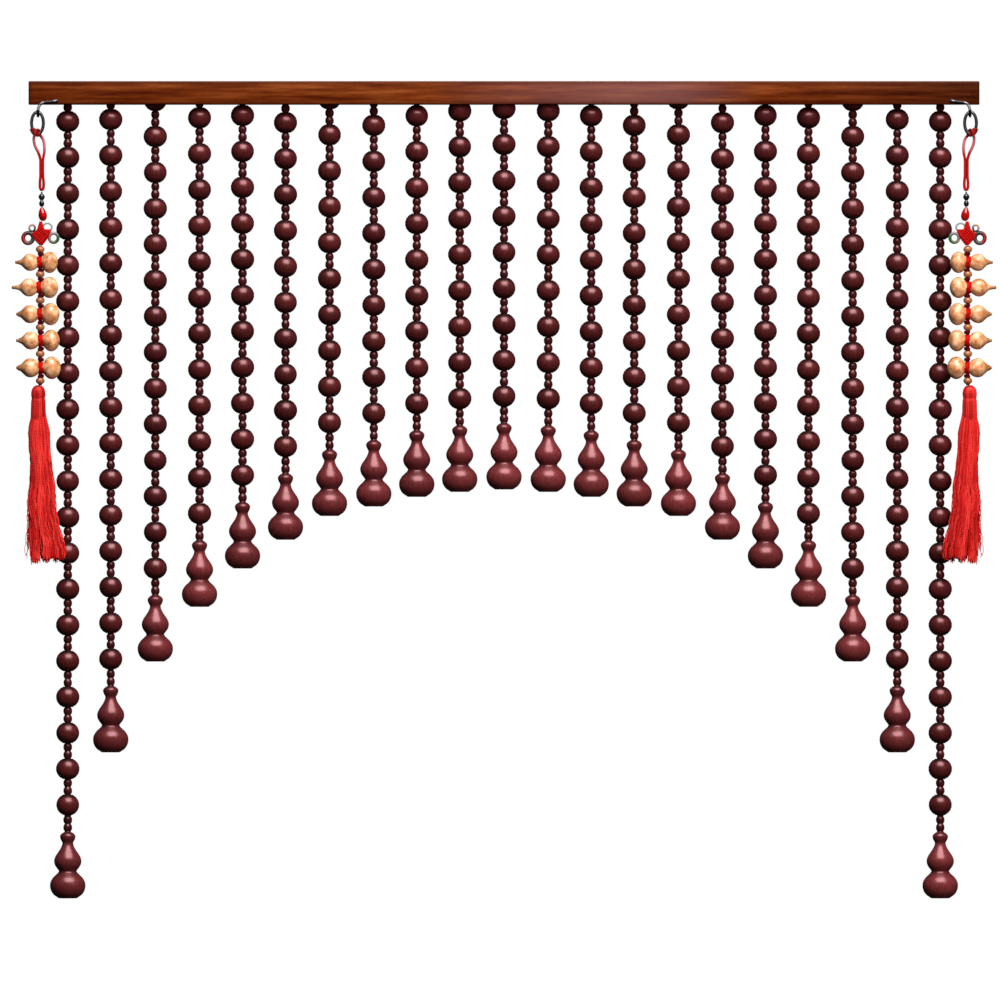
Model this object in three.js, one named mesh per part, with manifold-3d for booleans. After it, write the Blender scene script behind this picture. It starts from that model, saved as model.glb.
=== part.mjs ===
// A bead door curtain: twenty-one strands of turned wooden beads hang from a grooved head rail, each ending in a
// turned gourd, and their lengths make an arch. A red knotted charm hangs from a wire hook near each end of the rail.
// Millimetres, +Z up, +X along the rail, -Y towards the viewer. The origin is the middle of the rail's top face.
import * as THREE from "three";
import { mergeVertices } from "three/addons/utils/BufferGeometryUtils.js";
import Module from "manifold-3d";

const wasm = await Module();
wasm.setup();

// ---- driving dimensions ----
const FIT = 0.3; // clearance between pieces that touch

const RAIL = { length: 900, height: 22, depth: 34, grooveWidth: 24.4, grooveDepth: 16.5, chamfer: 1.2 };
const CEILING = -(RAIL.height - RAIL.grooveDepth); // underside of the board that closes the groove
const FRONT = -RAIL.depth / 2; // the rail's front face

// The small beads, two between big ones, are one plain stretch of their mean radius.
const BEAD = { height: 19.4, shoulder: 4.6, radius: 10.7 };
const SMALL_BEAD = { radius: 3.6, height: 7.33, perGap: 2 };
const STRAND_SIDES = 5;
// Half of the strands, from the middle one outwards: where each hangs along the rail, and how far below the rail's
// top its gourd's foot is.
const STRANDS = [
  { x: 0, drop: 386.5 },
  { x: 41.9, drop: 388.8 },
  { x: 82.6, drop: 393.5 },
  { x: 123.3, drop: 402.6 },
  { x: 165.2, drop: 411.6 },
  { x: 206.9, drop: 434.1 },
  { x: 247.6, drop: 461.3 },
  { x: 288.3, drop: 497.6 },
  { x: 330.2, drop: 549.4 },
  { x: 372.4, drop: 635.4 },
  { x: 413.1, drop: 773.6 },
];

const GOURD = { height: 62.8, sides: 6, footToBead: 88.5 }; // footToBead: up to the middle of the bead above
// The turned gourd's outline, from its foot to the collar round its cord hole.
const GOURD_OUTLINE = [
  { height: 0, radius: 8.5 },
  { height: 5.5, radius: 14.5 },
  { height: 12.4, radius: 16.6 },
  { height: 18.8, radius: 14.8 },
  { height: 26.0, radius: 7.9 },
  { height: 33.0, radius: 12.4 },
  { height: 39.5, radius: 12.0 },
  { height: 52.6, radius: 4.7 },
  { height: 58.4, radius: 6.9 },
  { height: GOURD.height, radius: 3.0 },
];

// ---- the charms: a charm's own x runs from its axis towards the curtain's middle ----
const WIRE = { hook: 1.4, ring: 1.5, cord: 1.35, ear: 1.3 }; // radii
const CLEAR = 0.8; // between the hook's wire and what it passes
const SHANK = FRONT - WIRE.hook - CLEAR; // the hook's wire, in front of the rail's face
const TURN = WIRE.ring + WIRE.hook + CLEAR; // radius of the hook's bend under the ring
const PLANE = SHANK - TURN; // the upright plane that each charm hangs in
const CHARM_X = 438.4; // from the curtain's middle to each charm's axis

const HOOK = { footX: 15.4, footHeight: -18.6, pin: 3.6, shankX: -2.5, holeRadius: 1.75 };
const RING = { x: -3.0, z: -39.8, halfWidth: 5.6, halfHeight: 10.4 };
const STACK_X = 1.0; // the axis of the beads over the knot
const STACK = { top: -104.95, dropTop: -119.3, foot: -132.5 };
const KNOT = { x: 0.2, z: -145.4, thickness: 6.4, bevel: 1.4 };
const ROPE = { top: -155.9, foot: -287.9, radius: 2.3 };
const TASSEL = { x: -2.2, top: -288.2, neck: -318, flare: -327, foot: -452, ragged: 4.5 };
const LOCKS = { count: 18, rootDepth: 3, rootRadius: 1.1, rootSpread: 7.6, tipRadius: 2.3, step: 3.7 };
const SKIRT = { x: 5.4, width: 14.8, depth: 6.2 }; // at its foot: the middle, and half its width and depth

// The small gourds lashed across the rope, from the top: height, and along x the stem's tip, the waist and the end
// of the belly, with the radii of the upper bulb and the belly.
const SMALL_GOURDS = [
  { z: -171.6, tip: -24.1, waist: -0.8, end: 17.0, bulb: 8.1, belly: 10.1 },
  { z: -195.4, tip: -27.4, waist: -1.4, end: 17.0, bulb: 8.5, belly: 10.0 },
  { z: -220.6, tip: -23.2, waist: -0.6, end: 18.2, bulb: 8.5, belly: 10.6 },
  { z: -245.6, tip: -23.2, waist: 0.2, end: 18.6, bulb: 8.5, belly: 10.3 },
  { z: -271.4, tip: -23.2, waist: 0.4, end: 19.8, bulb: 9.1, belly: 10.8 },
];
const GOLD_BEAD = { radius: 4.8, halfHeight: 4.2, x: -0.4 };
const GOLD_BEAD_HEIGHTS = [-160.2, -183.2, -207.8, -233.2, -258.4, -283.6];

// ---- materials ----
const paint = (color, roughness, metalness = 0) => new THREE.MeshStandardMaterial({ color, roughness, metalness });
const RAIL_WOOD = paint(0x7a3c18, 0.45);
const BEAD_WOOD = paint(0x4a1c1c, 0.35);
const STEEL = paint(0x50505a, 0.35, 1);
const RED_CORD = paint(0xc01010, 0.8);
const RED_SILK = paint(0xd81818, 0.6);
const BLACK_BEAD = paint(0x0c0c0c, 0.25);
const RED_BEAD = paint(0xc81410, 0.35);
const GOURD_SKIN = paint(0xc98a4a, 0.35);

// ---- solids ----

// A closed mesh as a manifold-3d solid, so that it can be joined or cut.
function solidOf(geometry) {
  const bare = geometry.clone();
  bare.deleteAttribute("normal");
  bare.deleteAttribute("uv");
  const merged = mergeVertices(bare, 1e-3);
  const triVerts = new Uint32Array(merged.index.array);
  const vertProperties = new Float32Array(merged.attributes.position.array);
  return new wasm.Manifold(new wasm.Mesh({ numProp: 3, vertProperties, triVerts }));
}

function geometryOf(solid) {
  const { vertProperties, triVerts } = solid.getMesh();
  return new THREE.BufferGeometry()
    .setAttribute("position", new THREE.BufferAttribute(vertProperties, 3))
    .setIndex(new THREE.BufferAttribute(triVerts, 1));
}

const joined = (geometries) => geometryOf(wasm.Manifold.union(geometries.map(solidOf)));

// How far a few-sided section's corners stand outside the round, so that its mean width is that of the round.
const cornerOf = (sides) => Math.PI / (sides * Math.sin(Math.PI / sides));

// A turned piece about the Z axis, from {height, radius} rows that run upwards. It is alike to the left and right.
function turned(rows, sides) {
  const profile = [new THREE.Vector2(0, rows[0].height)];
  for (const row of rows) profile.push(new THREE.Vector2(row.radius * cornerOf(sides), row.height));
  profile.push(new THREE.Vector2(0, rows[rows.length - 1].height));
  const firstCorner = sides % 2 === 0 ? Math.PI / 2 : 0;
  return new THREE.LatheGeometry(profile, sides, firstCorner).rotateX(Math.PI / 2);
}

const smooth = (points, closed = false) =>
  new THREE.CatmullRomCurve3(points.map((p) => new THREE.Vector3(...p)), closed, "centripetal");

function rod(points, radius, sides, steps) {
  const corners = [];
  for (let i = 0; i < sides; i++) {
    const angle = (i / sides) * 2 * Math.PI;
    corners.push(new THREE.Vector2(Math.cos(angle), Math.sin(angle)).multiplyScalar(radius * cornerOf(sides)));
  }
  const options = { steps, bevelEnabled: false, extrudePath: smooth(points) };
  return new THREE.ExtrudeGeometry(new THREE.Shape(corners), options);
}

const loop = (points, radius, sides, steps) =>
  new THREE.TubeGeometry(smooth(points, true), steps, radius * cornerOf(sides), sides, true);

// Points round an upright ellipse in the charm's plane.
function ellipse(x, z, halfWidth, halfHeight, count) {
  const points = [];
  for (let i = 0; i < count; i++) {
    const angle = (i / count) * 2 * Math.PI;
    points.push([x + halfWidth * Math.sin(angle), PLANE, z + halfHeight * Math.cos(angle)]);
  }
  return points;
}

// ---- the head rail: a batten with a groove along its underside, drilled for the two hooks ----
function railGeometry() {
  const { length, height, depth, grooveWidth, grooveDepth, chamfer } = RAIL;
  const outer = depth / 2;
  const inner = grooveWidth / 2;
  // Half of the section in (y, z), from the middle of the groove's ceiling round to the middle of the top.
  const half = [
    [inner, grooveDepth - height],
    [inner, -height],
    [outer - chamfer, -height],
    [outer, chamfer - height],
    [outer, -chamfer],
    [outer - chamfer, 0],
  ];
  const corners = [...half, ...half.map(([y, z]) => [-y, z]).reverse()];
  const section = new THREE.Shape(corners.map(([y, z]) => new THREE.Vector2(y, z)));
  const batten = new THREE.ExtrudeGeometry(section, { depth: length, bevelEnabled: false });
  // The section's plane is turned upright, so that the batten runs along X.
  const alongX = new THREE.Vector3(1, 0, 0);
  const axes = new THREE.Matrix4().makeBasis(new THREE.Vector3(0, 1, 0), new THREE.Vector3(0, 0, 1), alongX);
  batten.applyMatrix4(axes).translate(-length / 2, 0, 0);
  let solid = solidOf(batten);
  const holeDepth = HOOK.pin + FIT;
  for (const side of [-1, 1]) {
    const hole = new THREE.CylinderGeometry(HOOK.holeRadius, HOOK.holeRadius, 2 * holeDepth, 8);
    hole.translate(side * (CHARM_X - HOOK.footX), FRONT, HOOK.footHeight);
    solid = solid.subtract(solidOf(hole));
  }
  return geometryOf(solid);
}

// ---- a strand: its cord, its big beads and the small beads between them, threaded tight ----
function strandGeometry(drop) {
  const cord = SMALL_BEAD.radius;
  const half = BEAD.height / 2;
  const pitch = BEAD.height + SMALL_BEAD.perGap * SMALL_BEAD.height;
  const top = CEILING - FIT;
  const rows = [{ height: GOURD.height - drop + FIT, radius: cord }];
  for (let z = GOURD.footToBead - drop; z + half < top; z += pitch) {
    rows.push({ height: z - half, radius: cord });
    rows.push({ height: z - BEAD.shoulder, radius: BEAD.radius });
    rows.push({ height: z + BEAD.shoulder, radius: BEAD.radius });
    rows.push({ height: z + half, radius: cord });
  }
  rows.push({ height: top, radius: cord });
  return turned(rows, STRAND_SIDES);
}

// ---- the charm's pieces, in its own frame: x towards the middle, y and z as the rail's ----

// One bent wire: pinned into the rail's face, along its lower edge, down, and up again in front of the ring.
function hookGeometry() {
  const { footX, footHeight, pin, shankX } = HOOK;
  const seat = RING.z + RING.halfHeight;
  const points = [
    [footX, FRONT + pin, footHeight],
    [footX, FRONT - CLEAR, footHeight],
    [footX - 1.6, SHANK, footHeight - 0.4],
    [footX - 6, SHANK, footHeight - 1.0],
    [4, SHANK, -20.2],
    [0.4, SHANK, -21.4],
    [-1.9, SHANK, -24.6],
  ];
  for (const degrees of [0, 45, 90, 135, 180]) {
    const angle = THREE.MathUtils.degToRad(degrees);
    points.push([shankX, PLANE + TURN * Math.cos(angle), seat - TURN * Math.sin(angle)]);
  }
  points.push([shankX, PLANE - TURN, seat + 2.2]);
  return rod(points, WIRE.hook, 4, 21);
}

const ringGeometry = () =>
  loop(ellipse(RING.x, RING.z, RING.halfWidth, RING.halfHeight, 12), WIRE.ring, 5, 14);

// The hanging cord: a long loop over the ring's foot, crossed on itself into a small loop below. Each row gives x,
// the distance in front of the charm's plane, and z.
function hangingLoopGeometry() {
  const bight = WIRE.ring + WIRE.cord + CLEAR;
  const foot = RING.z - RING.halfHeight;
  const route = [
    [RING.x, 0, foot + bight],
    [RING.x - 1.3, 0.75 * bight, foot + 0.7 * bight],
    [RING.x - 2.0, bight, foot - 0.6],
    [-6.6, 2.5, -56],
    [-6.4, 1.6, -63],
    [-4.0, 1.2, -70],
    [-0.6, 1.5, -76.5],
    [1.0, 1.5, -79.8],
    [2.9, 0.9, -87],
    [3.5, 0, -95],
    [2.9, 0, -101],
    [1.0, 0, -103.4],
    [-0.9, 0, -101],
    [-1.5, 0, -95],
    [-0.9, -0.9, -87],
    [1.0, -1.5, -79.8],
    [2.6, -1.5, -75],
    [3.6, -1.2, -69],
    [3.4, -1.6, -62],
    [2.2, -2.5, -55],
    [RING.x + 2.0, -bight, foot - 0.6],
    [RING.x + 1.3, -0.75 * bight, foot + 0.7 * bight],
  ];
  return loop(route.map(([x, front, z]) => [x, PLANE - front, z]), WIRE.cord, 4, 30);
}

// Two black beads over each other, as one turned piece.
function blackBeadsGeometry() {
  const rows = [
    { height: STACK.dropTop + FIT, radius: 1.0 },
    { height: -117.2, radius: 2.3 },
    { height: -114.6, radius: 2.3 },
    { height: -112.7, radius: 1.5 },
    { height: -109.7, radius: 2.8 },
    { height: -106.9, radius: 0.9 },
    { height: STACK.top, radius: 0.9 },
  ];
  return turned(rows, 5).translate(STACK_X, PLANE, 0);
}

function dropBeadGeometry() {
  const rows = [
    { height: STACK.foot, radius: 1.4 },
    { height: -130.0, radius: 3.4 },
    { height: -126.6, radius: 4.0 },
    { height: -122.0, radius: 2.6 },
    { height: STACK.dropTop, radius: 1.0 },
  ];
  return turned(rows, 6).translate(STACK_X, PLANE, 0);
}

// The flat star-shaped knot, with the four ears of coloured cord that stand out of it.
function knotGeometry() {
  const star = [
    [-1.6, 12.6],
    [1.4, 12.6],
    [3.6, 5.2],
    [10.4, 5.0],
    [7.0, -3.2],
    [1.6, -10.2],
    [-1.2, -10.2],
    [-6.4, -4.6],
    [-9.2, 0.6],
    [-3.6, 5.0],
  ];
  const outline = new THREE.Shape(star.map(([x, z]) => new THREE.Vector2(x, z)));
  const depth = KNOT.thickness - 2 * KNOT.bevel;
  const options = { depth, bevelThickness: KNOT.bevel, bevelSize: 0.01, bevelSegments: 1 };
  const body = new THREE.ExtrudeGeometry(outline, options);
  body.translate(0, 0, -depth / 2).rotateX(Math.PI / 2).translate(KNOT.x, PLANE, KNOT.z);
  const ears = [
    { x: -12.4, z: -2.2, halfWidth: 5.8, halfHeight: 5.2 },
    { x: 12.6, z: -2.6, halfWidth: 4.8, halfHeight: 5.0 },
    { x: 6.4, z: 7.2, halfWidth: 4.0, halfHeight: 3.6 },
    { x: -8.0, z: 5.6, halfWidth: 4.0, halfHeight: 3.6 },
  ];
  const loops = ears.map(({ x, z, halfWidth, halfHeight }) =>
    loop(ellipse(KNOT.x + x, KNOT.z + z, halfWidth, halfHeight, 8), WIRE.ear, 3, 8),
  );
  return joined([body, ...loops]);
}

// A small dried gourd lying across the rope, its belly towards the curtain's middle and its stem outwards.
function smallGourdGeometry({ z, tip, waist, end, bulb, belly }) {
  const bulbX = waist - 1.05 * bulb;
  const bellyX = (waist + end) / 2;
  const rows = [
    { height: tip, radius: 1.7 },
    { height: bulbX - 0.95 * bulb, radius: 2.4 },
    { height: bulbX - 0.1 * bulb, radius: bulb },
    { height: waist, radius: 5.2 },
    { height: bellyX - 0.3 * belly, radius: 0.96 * belly },
    { height: bellyX + 0.35 * belly, radius: 0.92 * belly },
    { height: end, radius: 3.0 },
  ];
  return turned(rows, 6).rotateY(Math.PI / 2).translate(0, PLANE, z);
}

// The five small gourds with the rope that they are tied along and the gold beads threaded between them.
function ropeGeometry() {
  const { radius, halfHeight, x } = GOLD_BEAD;
  const rows = [{ height: ROPE.top, radius: ROPE.radius }];
  for (const z of GOLD_BEAD_HEIGHTS) {
    rows.push({ height: z + halfHeight, radius: ROPE.radius });
    rows.push({ height: z, radius });
    rows.push({ height: z - halfHeight, radius: ROPE.radius });
  }
  rows.push({ height: ROPE.foot, radius: ROPE.radius });
  const threaded = turned(rows.reverse(), 5).translate(x, PLANE, 0);
  return joined([threaded, ...SMALL_GOURDS.map(smallGourdGeometry)]);
}

// One lock of threads: a three-sided taper from its root in the head to its tip.
function lockGeometry(root, tip) {
  const along = tip.clone().sub(root);
  const rows = [
    { height: 0, radius: LOCKS.rootRadius },
    { height: along.length(), radius: LOCKS.tipRadius },
  ];
  const turn = new THREE.Quaternion().setFromUnitVectors(new THREE.Vector3(0, 0, 1), along.normalize());
  return turned(rows, 3).applyQuaternion(turn).translate(root.x, root.y, root.z);
}

// The bound head, and the locks that spread from it and stand apart below, on a sunflower's spacing.
function tasselGeometry() {
  const rows = [
    { height: TASSEL.flare, radius: 9.2 },
    { height: TASSEL.neck, radius: 6.6 },
    { height: -299.6, radius: 5.6 },
    { height: -293, radius: 5.6 },
    { height: TASSEL.top, radius: 2.4 },
  ];
  const pieces = [turned(rows, 6).translate(TASSEL.x, PLANE, 0)];
  const goldenAngle = Math.PI * (3 - Math.sqrt(5));
  const { count, rootDepth, rootSpread, step } = LOCKS;
  for (let i = 0; i < count; i++) {
    const reach = Math.sqrt((i + 0.5) / count);
    const across = reach * Math.cos(i * goldenAngle);
    const back = reach * Math.sin(i * goldenAngle);
    const root = [TASSEL.x + rootSpread * across, PLANE + rootSpread * back, TASSEL.flare + rootDepth];
    const ragged = TASSEL.ragged * Math.sin(step * i);
    const tip = [SKIRT.x + SKIRT.width * across, PLANE + SKIRT.depth * back, TASSEL.foot + ragged];
    pieces.push(lockGeometry(new THREE.Vector3(...root), new THREE.Vector3(...tip)));
  }
  return joined(pieces);
}

// ---- the scene graph ----
const curtain = new THREE.Group();

function add(parent, name, geometry, material) {
  const mesh = new THREE.Mesh(geometry, material);
  mesh.name = name;
  parent.add(mesh);
  return mesh;
}

add(curtain, "rail", railGeometry(), RAIL_WOOD);

const OUTERMOST = STRANDS.length - 1;
for (let i = -OUTERMOST; i <= OUTERMOST; i++) {
  const { x, drop } = STRANDS[Math.abs(i)];
  const number = String(i + OUTERMOST + 1).padStart(2, "0");
  const strand = new THREE.Group();
  strand.position.x = Math.sign(i) * x;
  curtain.add(strand);
  add(strand, `strand_${number}`, strandGeometry(drop), BEAD_WOOD);
  add(strand, `gourd_${number}`, turned(GOURD_OUTLINE, GOURD.sides), BEAD_WOOD).position.z = -drop;
}

for (const [name, side] of [["left", -1], ["right", 1]]) {
  const charm = new THREE.Group();
  charm.position.x = side * CHARM_X;
  charm.scale.x = -side; // the right charm is the left one mirrored
  curtain.add(charm);
  add(charm, `${name}_hook`, hookGeometry(), STEEL);
  add(charm, `${name}_ring`, ringGeometry(), STEEL);
  add(charm, `${name}_hanging_loop`, hangingLoopGeometry(), RED_CORD);
  add(charm, `${name}_black_beads`, blackBeadsGeometry(), BLACK_BEAD);
  add(charm, `${name}_drop_bead`, dropBeadGeometry(), RED_BEAD);
  add(charm, `${name}_knot`, knotGeometry(), RED_CORD);
  add(charm, `${name}_small_gourds`, ropeGeometry(), GOURD_SKIN);
  add(charm, `${name}_tassel`, tasselGeometry(), RED_SILK);
}

export default curtain;
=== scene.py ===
"""The look of a bead door curtain: turned beads strung under a head rail, with a knotted charm at each end.

Every size is in millimetres. +Z is up, +X runs along the rail and -Y points at the viewer, with the origin
in the middle of the head rail's top face. Meshes are made in millimetres and turned to metres as they enter
the scene.
"""

import logging
import math
import random
from collections.abc import Callable, Iterable, Sequence
from dataclasses import dataclass, field
from enum import Enum
from itertools import pairwise, product
from typing import Any

import bmesh
import bpy
from mathutils import Matrix, Vector
from mathutils.geometry import interpolate_bezier


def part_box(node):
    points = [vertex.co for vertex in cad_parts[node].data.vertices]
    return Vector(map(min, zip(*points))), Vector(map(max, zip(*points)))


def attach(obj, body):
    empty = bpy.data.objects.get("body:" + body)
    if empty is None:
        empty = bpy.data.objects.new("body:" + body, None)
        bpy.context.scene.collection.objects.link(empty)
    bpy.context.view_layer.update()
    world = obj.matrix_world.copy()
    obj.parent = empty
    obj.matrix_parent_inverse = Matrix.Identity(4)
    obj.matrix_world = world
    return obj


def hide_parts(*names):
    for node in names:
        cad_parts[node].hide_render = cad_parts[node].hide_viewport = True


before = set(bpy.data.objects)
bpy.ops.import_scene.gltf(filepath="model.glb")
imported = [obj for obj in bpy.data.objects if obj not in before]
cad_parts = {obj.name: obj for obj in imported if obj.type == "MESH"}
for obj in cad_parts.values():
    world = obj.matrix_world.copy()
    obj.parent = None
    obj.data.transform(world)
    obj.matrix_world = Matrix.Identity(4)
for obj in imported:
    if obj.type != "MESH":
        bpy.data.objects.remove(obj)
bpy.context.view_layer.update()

log = logging.getLogger("bead_curtain")

MM = 0.001
SHARP = math.radians(50)  # an edge that turns more than this is a crease
NEAR = 0.01  # mm; what is closer than this is in one place
WELD = 1e-4  # mm; corners closer than this become one
ROUNDING = {"affect": "EDGES", "segments": 3, "profile": 0.5, "material": -1}  # how every arris is bevelled
FULL_TURN = 360  # degrees
Row = tuple[float, float]  # height and radius of a turned form
Point = tuple[float, float, float]
# How far a wave goes, how many there are, and where it starts in x and in y.
Wave = tuple[float, float, float, float]
Tree = bpy.types.NodeTree
Socket = bpy.types.NodeSocket
Feeds = dict[str | int, Socket]  # what feeds each of a node's sockets
Verts = list[bmesh.types.BMVert]


# ---- colour and nodes ----


def linear(code: str) -> tuple[float, float, float, float]:
    """Turns an sRGB colour to linear light.

    Args:
        code: The colour as a hash and six hex digits.

    Returns:
        Its red, green and blue in linear light, and an alpha of 1.
    """
    channels = [int(code[i : i + 2], 16) / 255 for i in (1, 3, 5)]
    red, green, blue = (c / 12.92 if c <= 0.04045 else ((c + 0.055) / 1.055) ** 2.4 for c in channels)
    return red, green, blue, 1.0


def add_node(
    tree: Tree, kind: str, settings: dict[str | int, Any] | None = None, links: Feeds | None = None
) -> bpy.types.Node:
    """Adds a node with its settings and links.

    Args:
        tree: The node tree that gets it.
        kind: The node's type without its ShaderNode, such as Bump.
        settings: A value for each socket or property; "stops" holds a colour ramp's positions and colours.
        links: The socket that feeds each of its inputs.

    Returns:
        The new node.
    """
    node = tree.nodes.new(f"ShaderNode{kind}")
    for name, value in (settings or {}).items():
        if name == "stops":
            ramp = node.color_ramp.elements
            while len(ramp) < len(value):
                ramp.new(1.0)
            for stop, (position, colour) in zip(ramp, value):
                stop.position = position
                stop.color = linear(colour)
        elif isinstance(name, int) or name in node.inputs:
            node.inputs[name].default_value = value
        else:
            setattr(node, name, value)
    for name, socket in (links or {}).items():
        tree.links.new(socket, node.inputs[name])
    return node


@dataclass(frozen=True)
class Pattern:
    """Noise that is laid over a surface.

    Attributes:
        x: Its size along x, in units.
        y: Its size along y.
        z: Its size along z.
        layers: How many finer layers it has.
        grit: How strong the finer layers are.
        unit: A unit in the coordinates that it reads: a millimetre, or 1 in a UV map.
    """

    x: float
    y: float
    z: float
    layers: float = 2.0
    grit: float = 0.55
    unit: float = MM

    def lay(self, tree: Tree, source: Socket) -> Socket:
        """Lays it over a surface.

        Args:
            tree: The material's node tree.
            source: The coordinates that it reads.

        Returns:
            The noise's value, 0 to 1.
        """
        scale = [1 / (size * self.unit) for size in (self.x, self.y, self.z)]
        mapping = add_node(tree, "Mapping", {"Scale": scale}, {"Vector": source})
        settings = {"Scale": 1.0, "Detail": self.layers, "Roughness": self.grit}
        return add_node(tree, "TexNoise", settings, {"Vector": mapping.outputs["Vector"]}).outputs["Fac"]


@dataclass(frozen=True)
class Finish:
    """What all finishes share: a material's name, and how its nodes end in the shader.

    Attributes:
        name: The real material and how its surface was made.
        gloss: Settings that are the same all over the surface.
    """

    name: str
    gloss: dict[str, Any] = field(default_factory=dict)

    def material(self) -> bpy.types.Material:
        """Makes the material, or returns it if it is made already.

        Returns:
            The material, with this finish's nodes.
        """
        made = bpy.data.materials.get(self.name)
        if made is None:
            made = bpy.data.materials.new(self.name)
            made.use_nodes = True
            tree = made.node_tree
            tree.nodes.clear()
            shader = add_node(tree, "BsdfPrincipled", dict(self.gloss), self.dress(tree))
            add_node(tree, "OutputMaterial", {}, {"Surface": shader.outputs["BSDF"]})
        return made

    def dress(self, tree: Tree) -> Feeds:
        """Adds the finish's own nodes.

        Args:
            tree: The material's node tree.

        Returns:
            What feeds each of the shader's sockets.
        """
        raise NotImplementedError

    @staticmethod
    def place(tree: Tree) -> Socket:
        """Gives the surface's place in the object's own coordinates."""
        return add_node(tree, "TexCoord").outputs["Object"]

    @staticmethod
    def tone(tree: Tree) -> Socket:
        """Gives the piece's own tone, 0 for dark to 1 for light."""
        return add_node(tree, "Attribute", {"attribute_name": "tone"}).outputs["Fac"]

    @staticmethod
    def spread(tree: Tree, value: Socket, low: float, high: float) -> Socket:
        """Maps a value from 0 to 1 onto a range.

        Args:
            tree: The material's node tree.
            value: What is mapped.
            low: The result at 0.
            high: The result at 1.

        Returns:
            The mapped value.
        """
        settings = {"To Min": low, "To Max": high}
        return add_node(tree, "MapRange", settings, {"Value": value}).outputs["Result"]

    @staticmethod
    def relief(tree: Tree, height: Socket, depth: float) -> Socket:
        """Turns a height into a bump.

        Args:
            tree: The material's node tree.
            height: The height, 0 to 1.
            depth: How far 0 lies under 1; mm.

        Returns:
            The bumped normal.
        """
        settings = {"Strength": 1.0, "Distance": depth * MM}
        return add_node(tree, "Bump", settings, {"Height": height}).outputs["Normal"]


@dataclass(frozen=True)
class LacqueredBead(Finish):
    """Close-grained wood, turned, stained and lacquered.

    The stain hides most of the grain, so the eye gets one deep colour that varies a little from bead to
    bead. Towards the ends it is nearly black, the end grain's stain and painted shade where the beads meet,
    under a smooth gloss whose highlight keeps the stain's pink.
    """

    dark: str = "#280a0a"
    middle: str = "#391111"
    light: str = "#481919"
    grain: Pattern = Pattern(0.9, 0.9, 7.0, 3.0)  # along the turned axis; drawn a little coarse, to show
    lathe: Pattern = Pattern(6.0, 6.0, 0.5)
    lathe_depth: float = 0.012
    rough: tuple[float, float] = (0.27, 0.35)
    shades: tuple[float, float] = (0.5, 1.18)  # the light of the darkest bead and of the lightest
    end_grain_and_shade: float = 0.12  # light left at the ends under end-grain stain and painted shade

    def dress(self, tree: Tree) -> Feeds:
        """Adds grain along the bead's axis, its tone, stain and painted shade at its ends, and a faint turned
        surface.

        Args:
            tree: The material's node tree.

        Returns:
            What feeds each of the shader's sockets.
        """
        place = self.place(tree)
        grain = self.grain.lay(tree, place)
        stops = [(0.25, self.dark), (0.5, self.middle), (0.75, self.light)]
        colour = add_node(tree, "ValToRGB", {"stops": stops}, {"Fac": grain})
        # The ends attribute darkens the poles: end-grain stain and painted shade where the beads meet.
        ends = add_node(tree, "Attribute", {"attribute_name": "ends"}).outputs["Fac"]
        shade = self.spread(tree, self.tone(tree), *self.shades)
        left = self.spread(tree, ends, 1.0, self.end_grain_and_shade)
        value = add_node(tree, "Math", {"operation": "MULTIPLY"}, {0: shade, 1: left})
        links = {"Color": colour.outputs["Color"], "Value": value.outputs["Value"]}
        return {
            "Base Color": add_node(tree, "HueSaturation", {}, links).outputs["Color"],
            "Roughness": self.spread(tree, grain, *self.rough),
            "Normal": self.relief(tree, self.lathe.lay(tree, place), self.lathe_depth),
        }


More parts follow.
